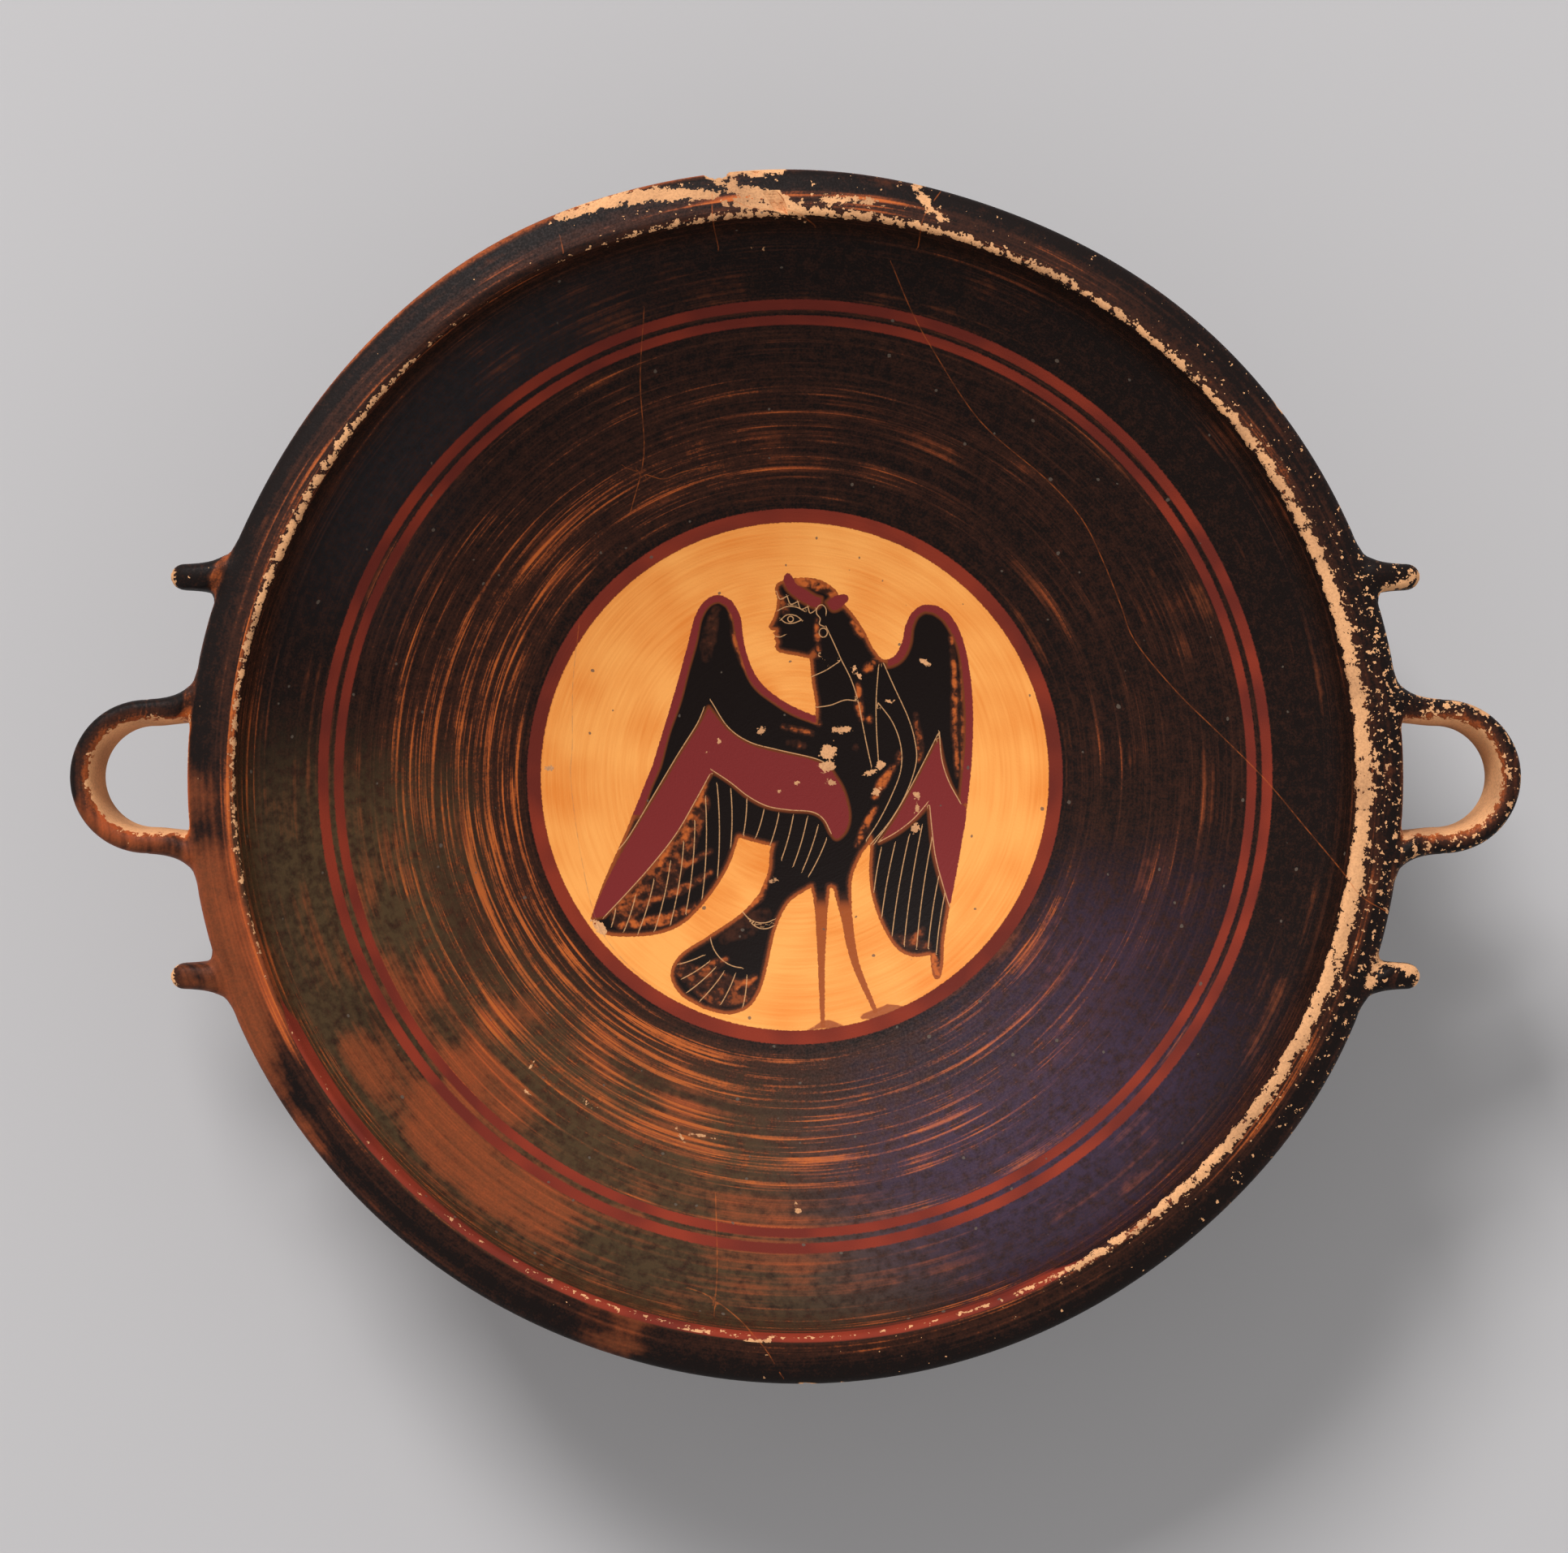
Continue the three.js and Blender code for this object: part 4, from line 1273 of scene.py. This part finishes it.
def varied(tree, value, noises, usual=(0.3, 0.7)):
    # a value plus noises, each of which goes from its own low to its own high over its usual range
    for noise, low, high in noises:
        shift = addNode(tree, "MapRange", {0: noise, 1: usual[0], 2: usual[1], 3: low, 4: high})
        value = addNode(tree, "Math", {0: shift, 1: value}, operation="ADD")
    return value


def laidOver(tree, colour, layers):
    # colours laid one over another: each covers those under it by its share
    for share, layer in layers:
        colour = addNode(tree, "Mix", {0: share, 6: colour, 7: layer}, output=2, data_type="RGBA")
    return colour


def slipColour(tree, thickness, stops):
    # the slip's colour by its thickness
    return addNode(tree, "ValToRGB", {0: thickness}, stops=[(at, paint[name]) for at, name in stops])


def turningNoises(tree, place, flat, radius):
    # noises over the clay, and brush marks that run round the axis: noise at a point that is made of
    # the direction from the axis and, upwards, the distance from it and a part of the height
    heading = addNode(tree, "VectorMath", {0: flat}, operation="NORMALIZE")
    height = addNode(tree, "SeparateXYZ", {0: place}, output=2)
    outwards = addNode(tree, "Math", {0: height, 1: 0.8, 2: radius}, operation="MULTIPLY_ADD")
    upwards = addNode(tree, "CombineXYZ", {2: outwards})
    along = addNode(tree, "VectorMath", {0: heading, 1: upwards}, operation="ADD")
    noise = {}
    for name, (turns, across, detail, roughness) in brushMarks.items():
        stretch = (turns, turns, 1 / across)
        vector = addNode(tree, "VectorMath", {0: along, 1: stretch}, operation="MULTIPLY")
        inputs = {"Vector": vector, "Scale": 1.0, "Detail": detail, "Roughness": roughness}
        noise[name] = addNode(tree, "TexNoise", inputs)
    for name, (across, detail, roughness) in clayNoises.items():
        inputs = {"Vector": place, "Scale": 1 / across, "Detail": detail, "Roughness": roughness}
        noise[name] = addNode(tree, "TexNoise", inputs)
    return noise


def bowlSlip(tree, field, noise):
    # how thick the slip lies in the bowl: less where fine marks, bands and clouds meet, by how open the
    # brushing is there
    marks = addNode(tree, "MapRange", {0: noise["fineMarks"], 1: 0.46, 2: 0.72})
    bands = addNode(tree, "MapRange", {0: noise["longMarks"], 1: 0.38, 2: 0.64})
    clouds = addNode(tree, "MapRange", {0: noise["clouds"], 1: 0.36, 2: 0.64, 3: 0.25, 4: 1.0})
    opened = folded(tree, "MULTIPLY", [marks, bands, clouds])
    opened = addNode(tree, "Math", {0: marks, 1: 0.16, 2: opened}, operation="MULTIPLY_ADD")
    opened = addNode(tree, "Math", {0: bands, 1: 0.14, 2: opened}, operation="MULTIPLY_ADD")
    thinned = folded(tree, "MULTIPLY", [opened, field["streaky"]])
    thick = folded(tree, "SUBTRACT", [field["glaze"], thinned])
    return varied(tree, thick, [(noise["grain"], -0.07, 0.07), (noise["mottle"], -0.08, 0.06)])


def bowlColour(tree, field, noise):
    # the slip fired black, with the kiln's olive tint and a painted violet sheen and grey reflection of the
    # lamps over it, and orange-red where air reached it
    slip = bowlSlip(tree, field, noise)
    colour = slipColour(tree, slip, fired)
    for name, (strength, source) in kilnTintsAndSheen.items():
        broken = addNode(tree, "MapRange", {0: noise[source], 1: 0.3, 2: 0.6, 3: 0.2, 4: 1.0})
        share = folded(tree, "MULTIPLY", [field[name], broken, strength])
        colour = laidOver(tree, colour, [(share, paint[name])])
    uneven = [(noise["clouds"], -0.35, 0.3), (noise["longMarks"], -0.3, 0.26), (noise["mottle"], -0.16, 0.14)]
    aired = {0: varied(tree, field["orange"], uneven), 1: 0.15, 2: 0.95, 4: 0.92}
    aired = addNode(tree, "MapRange", aired, interpolation_type="SMOOTHSTEP")
    return laidOver(tree, colour, [(aired, slipColour(tree, slip, misfired))])


def ringMask(tree, radius, inner, outer):
    # 1 between a ring's two radii, 0 outside them, and a step of 0.3 mm at each
    middle, half, soft = (inner + outer) / 2, (outer - inner) / 2, 0.15
    off = addNode(tree, "Math", {0: folded(tree, "SUBTRACT", [radius, middle])}, operation="ABSOLUTE")
    return addNode(tree, "MapRange", {0: off, 1: half + soft, 2: half - soft})


def redOnBowl(tree, field, noise, radius):
    # red paint of the two rings, of the ring round the picture, and of the band along the rim
    rings = [tondo["innerRing"], tondo["outerRing"], (tondo["groundRadius"], tondo["borderRadius"])]
    painted = folded(tree, "MAXIMUM", [ringMask(tree, radius, *ring) for ring in rings])
    painted = folded(tree, "MULTIPLY", [painted, field["inside"]])
    band = varied(tree, field["rimBand"], [(noise["longMarks"], -0.9, 0.7)], (0, 1))
    return folded(tree, "MAXIMUM", [painted, addNode(tree, "MapRange", {0: band, 1: -0.1, 2: 0.25})])


def lineMask(tree, field, name, width, blur, reach):
    # 1 on a line and 0 beside it: the signed offset makes it only as wide as the tool, and the plain
    # distance keeps it from places that are far off
    side = addNode(tree, "Math", {0: field[name + "Side"]}, operation="ABSOLUTE")
    thin = addNode(tree, "MapRange", {0: side, 1: width / 2 + blur, 2: width / 2 - blur})
    close = addNode(tree, "MapRange", {0: field[name + "Near"], 1: reach + 0.12, 2: reach})
    return folded(tree, "MULTIPLY", [thin, close])


def figureSlip(tree, field, noise, inFigure):
    # the brush outlined the figure thinly and then filled it, and left it thin in some strokes
    outline = addNode(tree, "MapRange", {0: inFigure, 1: 0.6, 2: 1.9, 3: 0.62, 4: 0.0})
    uneven = addNode(tree, "MapRange", {0: noise["mottle"], 1: 0.34, 2: 0.64, 3: 0.3, 4: 1.2})
    thin = folded(tree, "MULTIPLY", [field["thinGlaze"], uneven])
    thinnest = folded(tree, "MAXIMUM", [outline, thin, field["dilute"]])
    return folded(tree, "SUBTRACT", [finish["figureSlip"], thinnest])


def pictureColour(tree, field, noise):
    # the orange ground, the feet, the figure's slip, its red wings, and the lines cut through both
    tone = addNode(tree, "MapRange", {0: noise["clouds"], 1: 0.3, 2: 0.75})
    tone = varied(tree, tone, [(noise["fineMarks"], -0.22, 0.28)], (0.35, 0.8))
    wobble = [(noise["grain"], -0.22, 0.22)]
    inFigure = varied(tree, field["figure"], wobble, (0, 1))
    figure = addNode(tree, "MapRange", {0: inFigure, 1: -0.06, 2: 0.1})
    feet = addNode(tree, "MapRange", {0: field["feet"], 1: -0.1, 2: 0.25, 4: 0.85})
    redHalo = addNode(tree, "MapRange", {0: field["redPaint"], 1: -0.9, 2: -0.3, 4: 0.6})
    red = varied(tree, field["redPaint"], wobble, (0, 1))
    red = addNode(tree, "MapRange", {0: red, 1: -0.08, 2: 0.1})
    cuts = [lineMask(tree, field, name, tondo["cutWidth"], finish["cutBlur"], 0.5) for name in cutLines()]
    depth = addNode(tree, "MapRange", {0: noise["grain"], 1: 0.25, 2: 0.5, 3: 0.45, 4: 0.95})
    return laidOver(tree, paint["ground"], [
        (tone, paint["groundDeep"]),
        (feet, paint["footPaint"]),
        (figure, slipColour(tree, figureSlip(tree, field, noise, inFigure), fired)),
        (folded(tree, "MULTIPLY", [redHalo, figure]), paint["thinBrown"]),
        (red, paint["wingRed"]),
        (folded(tree, "MULTIPLY", [folded(tree, "MAXIMUM", cuts), figure, depth]), paint["cutLine"]),
    ])


def bareMask(tree, field, noise):
    # clay that shows: the worn edge, broken places, strewn flakes, the figure's losses and the scars,
    # all with ragged borders
    ragged = varied(tree, 0.0, [(noise["mottle"], -1.1, 1.1), (noise["grain"], -0.5, 0.5)])
    worn = folded(tree, "ADD", [field["bareEdge"], ragged])
    level = addNode(tree, "MapRange", {0: field["flaked"], 3: 0.82, 4: 0.55})
    strewn = folded(tree, "SUBTRACT", [noise["flakes"], level])
    lost = addNode(tree, "Math", {0: ragged, 1: 0.55, 2: field["flake"]}, operation="MULTIPLY_ADD")
    scar = addNode(tree, "Math", {0: ragged, 1: 0.4, 2: field["scar"]}, operation="MULTIPLY_ADD")
    steps = [  # what shows the clay, and from where to where it does so more and more
        (worn, -0.1, 0.15),
        (field["broken"], 0.35, 0.6),
        (strewn, -0.002, 0.006),
        (lost, -0.05, 0.12),
        (scar, -0.05, 0.12),
    ]
    masks = [addNode(tree, "MapRange", {0: value, 1: low, 2: high}) for value, low, high in steps]
    return folded(tree, "MAXIMUM", masks)


def glazedMaterial(fieldNames):
    # clay that was brushed on the wheel with a slip that fires black: where the slip lies thick it is
    # black and slightly glossy, where it is thin it stays brown or orange, where air reached it in the
    # kiln it is orange-red; over it matt red paint, lines cut down to the clay, and wear
    material = bpy.data.materials.new("brushedBlackSlipOnOrangeClay")
    material.use_nodes = True
    tree = material.node_tree
    surface = tree.nodes["Principled BSDF"]
    field = {name: addNode(tree, "Attribute", output="Fac", attribute_name=name) for name in fieldNames}
    metres = addNode(tree, "TexCoord", output="Object")
    place = addNode(tree, "VectorMath", {0: metres, "Scale": 1 / mm}, operation="SCALE")
    flat = addNode(tree, "VectorMath", {0: place, 1: (1, 1, 0)}, operation="MULTIPLY")
    radius = addNode(tree, "VectorMath", {0: flat}, output="Value", operation="LENGTH")
    noise = turningNoises(tree, place, flat, radius)
    clouds, mottle, grain = noise["clouds"], noise["mottle"], noise["grain"]

    # the bowl's slip, the red paint on it, and the picture inside the ring
    handDrawn = varied(tree, radius, [(grain, -0.2, 0.2)], (0, 1))
    red = redOnBowl(tree, field, noise, handDrawn)
    redTone = addNode(tree, "MapRange", {0: clouds, 1: 0.36, 2: 0.64})
    redHue = laidOver(tree, paint["redPaint"], [(redTone, paint["redPaintDeep"])])
    disc = {0: handDrawn, 1: tondo["groundRadius"] + 0.1, 2: tondo["groundRadius"] - 0.1}
    disc = folded(tree, "MULTIPLY", [addNode(tree, "MapRange", disc), field["inside"]])

    # bare clay with dirt in it, old cracks, and small pits where a cell's distance is least
    bare = bareMask(tree, field, noise)
    dirt = addNode(tree, "MapRange", {0: clouds, 1: 0.45, 2: 0.75, 4: 0.75})
    dirt = varied(tree, dirt, [(grain, 0.0, 0.4)], (0.4, 0.7))
    bareClay = laidOver(tree, paint["bare"], [(dirt, paint["bareDirty"])])
    crackWear = addNode(tree, "MapRange", {0: mottle, 1: 0.42, 2: 0.6, 3: 0.3, 4: 1.0})
    crack = lineMask(tree, field, "crack", finish["crackWidth"], 0.1, 0.85)
    crackHue = laidOver(tree, paint["thinOrange"], [(disc, paint["bareDirty"])])
    cells = {"Vector": place, "Scale": 1 / finish["pitSpacing"], "Randomness": 1.0}
    cells = addNode(tree, "TexVoronoi", cells, output="Distance")
    cells = addNode(tree, "Math", {0: mottle, 1: 0.22, 2: cells}, operation="MULTIPLY_ADD")
    pit = addNode(tree, "MapRange", {0: cells, 1: 0.17, 2: 0.155})
    pit = folded(tree, "MULTIPLY", [pit, field["inside"]])

    colour = laidOver(tree, bowlColour(tree, field, noise), [
        (red, redHue),
        (disc, pictureColour(tree, field, noise)),
        (bare, bareClay),
        (folded(tree, "MULTIPLY", [crack, crackWear, 0.6]), crackHue),
        (folded(tree, "MULTIPLY", [pit, 0.8]), paint["pit"]),
    ])
    tree.links.new(colour, surface.inputs["Base Color"])

    # slip and polished ground have a low gloss, red paint and bare clay none
    matt = folded(tree, "MAXIMUM", [bare, folded(tree, "MULTIPLY", [red, 0.5])])
    low, high = finish["slipRoughness"]
    gloss = addNode(tree, "MapRange", {0: grain, 1: 0.3, 2: 0.7, 3: low, 4: high})
    roughness = addNode(tree, "Mix", {0: matt, 2: gloss, 3: finish["bareRoughness"]})
    tree.links.new(roughness, surface.inputs["Roughness"])
    surface.inputs["Specular IOR Level"].default_value = finish["specular"]

    # relief: brush ridges and grain
    relief = addNode(tree, "Math", {0: noise["fineMarks"], 1: 1.2, 2: grain}, operation="MULTIPLY_ADD")
    bump = addNode(tree, "Bump", {"Height": relief, "Distance": finish["ridge"], "Strength": 0.8})
    tree.links.new(bump, surface.inputs["Normal"])
    return material


def halved(vertices, faces, wantedAt):
    # every edge with both ends in a wanted place gets a point in its middle. A triangle with one such
    # edge becomes two, with two of them three, with three of them four
    wanted = wantedAt(vertices)
    pairs = np.sort(faces[:, [[0, 1], [1, 2], [2, 0]]], axis=2).reshape(-1, 2)
    edges, which = np.unique(pairs, axis=0, return_inverse=True)
    split = wanted[edges].all(axis=1)
    middle = np.where(split, len(vertices) + np.cumsum(split) - 1, -1)[which].reshape(-1, 3)
    added = vertices[edges[split]].mean(axis=1)
    parts = middle >= 0
    count = parts.sum(axis=1)
    # turn each triangle's corners round until its split edges come first
    pastWhole = np.where(count == 2, ((~parts).argmax(axis=1) + 1) % 3, 0)
    turns = np.where(count == 1, parts.argmax(axis=1), pastWhole)
    order = (np.arange(3)[None, :] + turns[:, None]) % 3
    a, b, c = np.take_along_axis(faces, order, axis=1).T
    ab, bc, ca = np.take_along_axis(middle, order, axis=1).T
    one, two, three = (count == k for k in (1, 2, 3))
    made = [faces[count == 0]]
    for picked, triangles in (
        (one, ((a, ab, c), (ab, b, c))),
        (two, ((ab, b, bc), (a, ab, bc), (a, bc, c))),
        (three, ((a, ab, ca), (ab, b, bc), (ca, bc, c), (ab, bc, ca))),
    ):
        made += [np.stack([corner[picked] for corner in triangle], -1) for triangle in triangles]
    return np.vstack([vertices, added]), np.vstack(made)


finer = {  # where the mesh is finer, in millimetres
    "roundFigure": 0.7,
    "byCracks": 3.0,
    "roots": {"beyond": 130, "aside": 60, "above": 68},
    "face": {"left": -6.6, "right": 9.2, "low": 35.6, "high": 49.4},
}


def overPicture(p):
    # on the bowl's floor inside the red ring
    return (np.hypot(p[:, 0], p[:, 1]) < tondo["groundRadius"]) & (p[:, 2] > cup["floorHeight"] - 1)


def underFigure(p):
    # the mesh is finer under the figure and just round it
    wanted = overPicture(p)
    wanted[wanted] = silhouette(p[wanted][:, :2])["figure"] > -finer["roundFigure"]
    return wanted


def byCracks(p):
    # the bowl's mesh is finer along its old cracks, so that their lines stay thin
    radius = np.hypot(p[:, 0], p[:, 1])
    wanted = (radius > tondo["groundRadius"]) & (p[:, 2] > insideHeight(radius) - 2)
    starts, ends = piecesOf(cracks)
    wanted[wanted] = nearestOn(starts, ends, p[wanted][:, :2])[0] < finer["byCracks"]
    return wanted


def byRoots(p):
    # and on the rim beside the handles and spurs, where clay was smoothed over the joins
    zone = finer["roots"]
    return (np.abs(p[:, 0]) > zone["beyond"]) & (np.abs(p[:, 1]) < zone["aside"]) & (p[:, 2] > zone["above"])


def underFace(p):
    # finer again under the face, whose lines lie close together
    zone, x, y = finer["face"], p[:, 0], p[:, 1]
    beside = (x > zone["left"]) & (x < zone["right"])
    return overPicture(p) & beside & (y > zone["low"]) & (y < zone["high"])


vertices, faces = turnedBody()
for wantedAt in (underFigure, underFace, byRoots, byCracks):
    vertices, faces = halved(vertices, faces, wantedAt)
kylix = meshObject("kylixCup", vertices, faces)
fittings = [handlePiece(side) for side in (1, -1)]
fittings += [spurPiece(side, upper) for side in (1, -1) for upper in (1, -1)]
fitting = meshObject("handlesAndSpurs", *joined(fittings))
before = np.vstack([placesOf(kylix), placesOf(fitting)])
applied(kylix, "join", fitting, "UNION")
softenJoins(kylix, before)
whole = placesOf(kylix)
for name, chip in rimChips.items():
    applied(kylix, "cut", wedgePiece(name, *chip), "DIFFERENCE")
brokenClay = newPlaces(placesOf(kylix), whole)
print("cup turned, handles and spurs joined:", len(kylix.data.polygons), "faces")

places = placesOf(kylix)
fields = bowlFields(places)
radius = np.hypot(places[:, 0], places[:, 1])
onDisc = (radius < tondo["borderRadius"] + 4.9) & fields["inside"]
for name, values in sirenFields(places[onDisc][:, :2]).items():
    if name in ("thinGlaze", "dilute"):
        away = 0.0
    else:
        away = far["line"] if name.endswith(("Side", "Near")) else far["out"]
    fields[name] = np.full(len(places), away)
    fields[name][onDisc] = values
fields["broken"] = brokenClay.astype(float)
setAttributes(kylix, fields)
print("painting laid out:", len(fields), "fields")

kylix.data.materials.clear()
kylix.data.materials.append(glazedMaterial(list(fields)))
kylix.data.polygons.foreach_set("use_smooth", np.ones(len(kylix.data.polygons), bool))
kylix.data.set_sharp_from_angle(angle=math.radians(50))
print("glaze, paint and wear laid on")

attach(kylix, "root")
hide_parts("kylix")
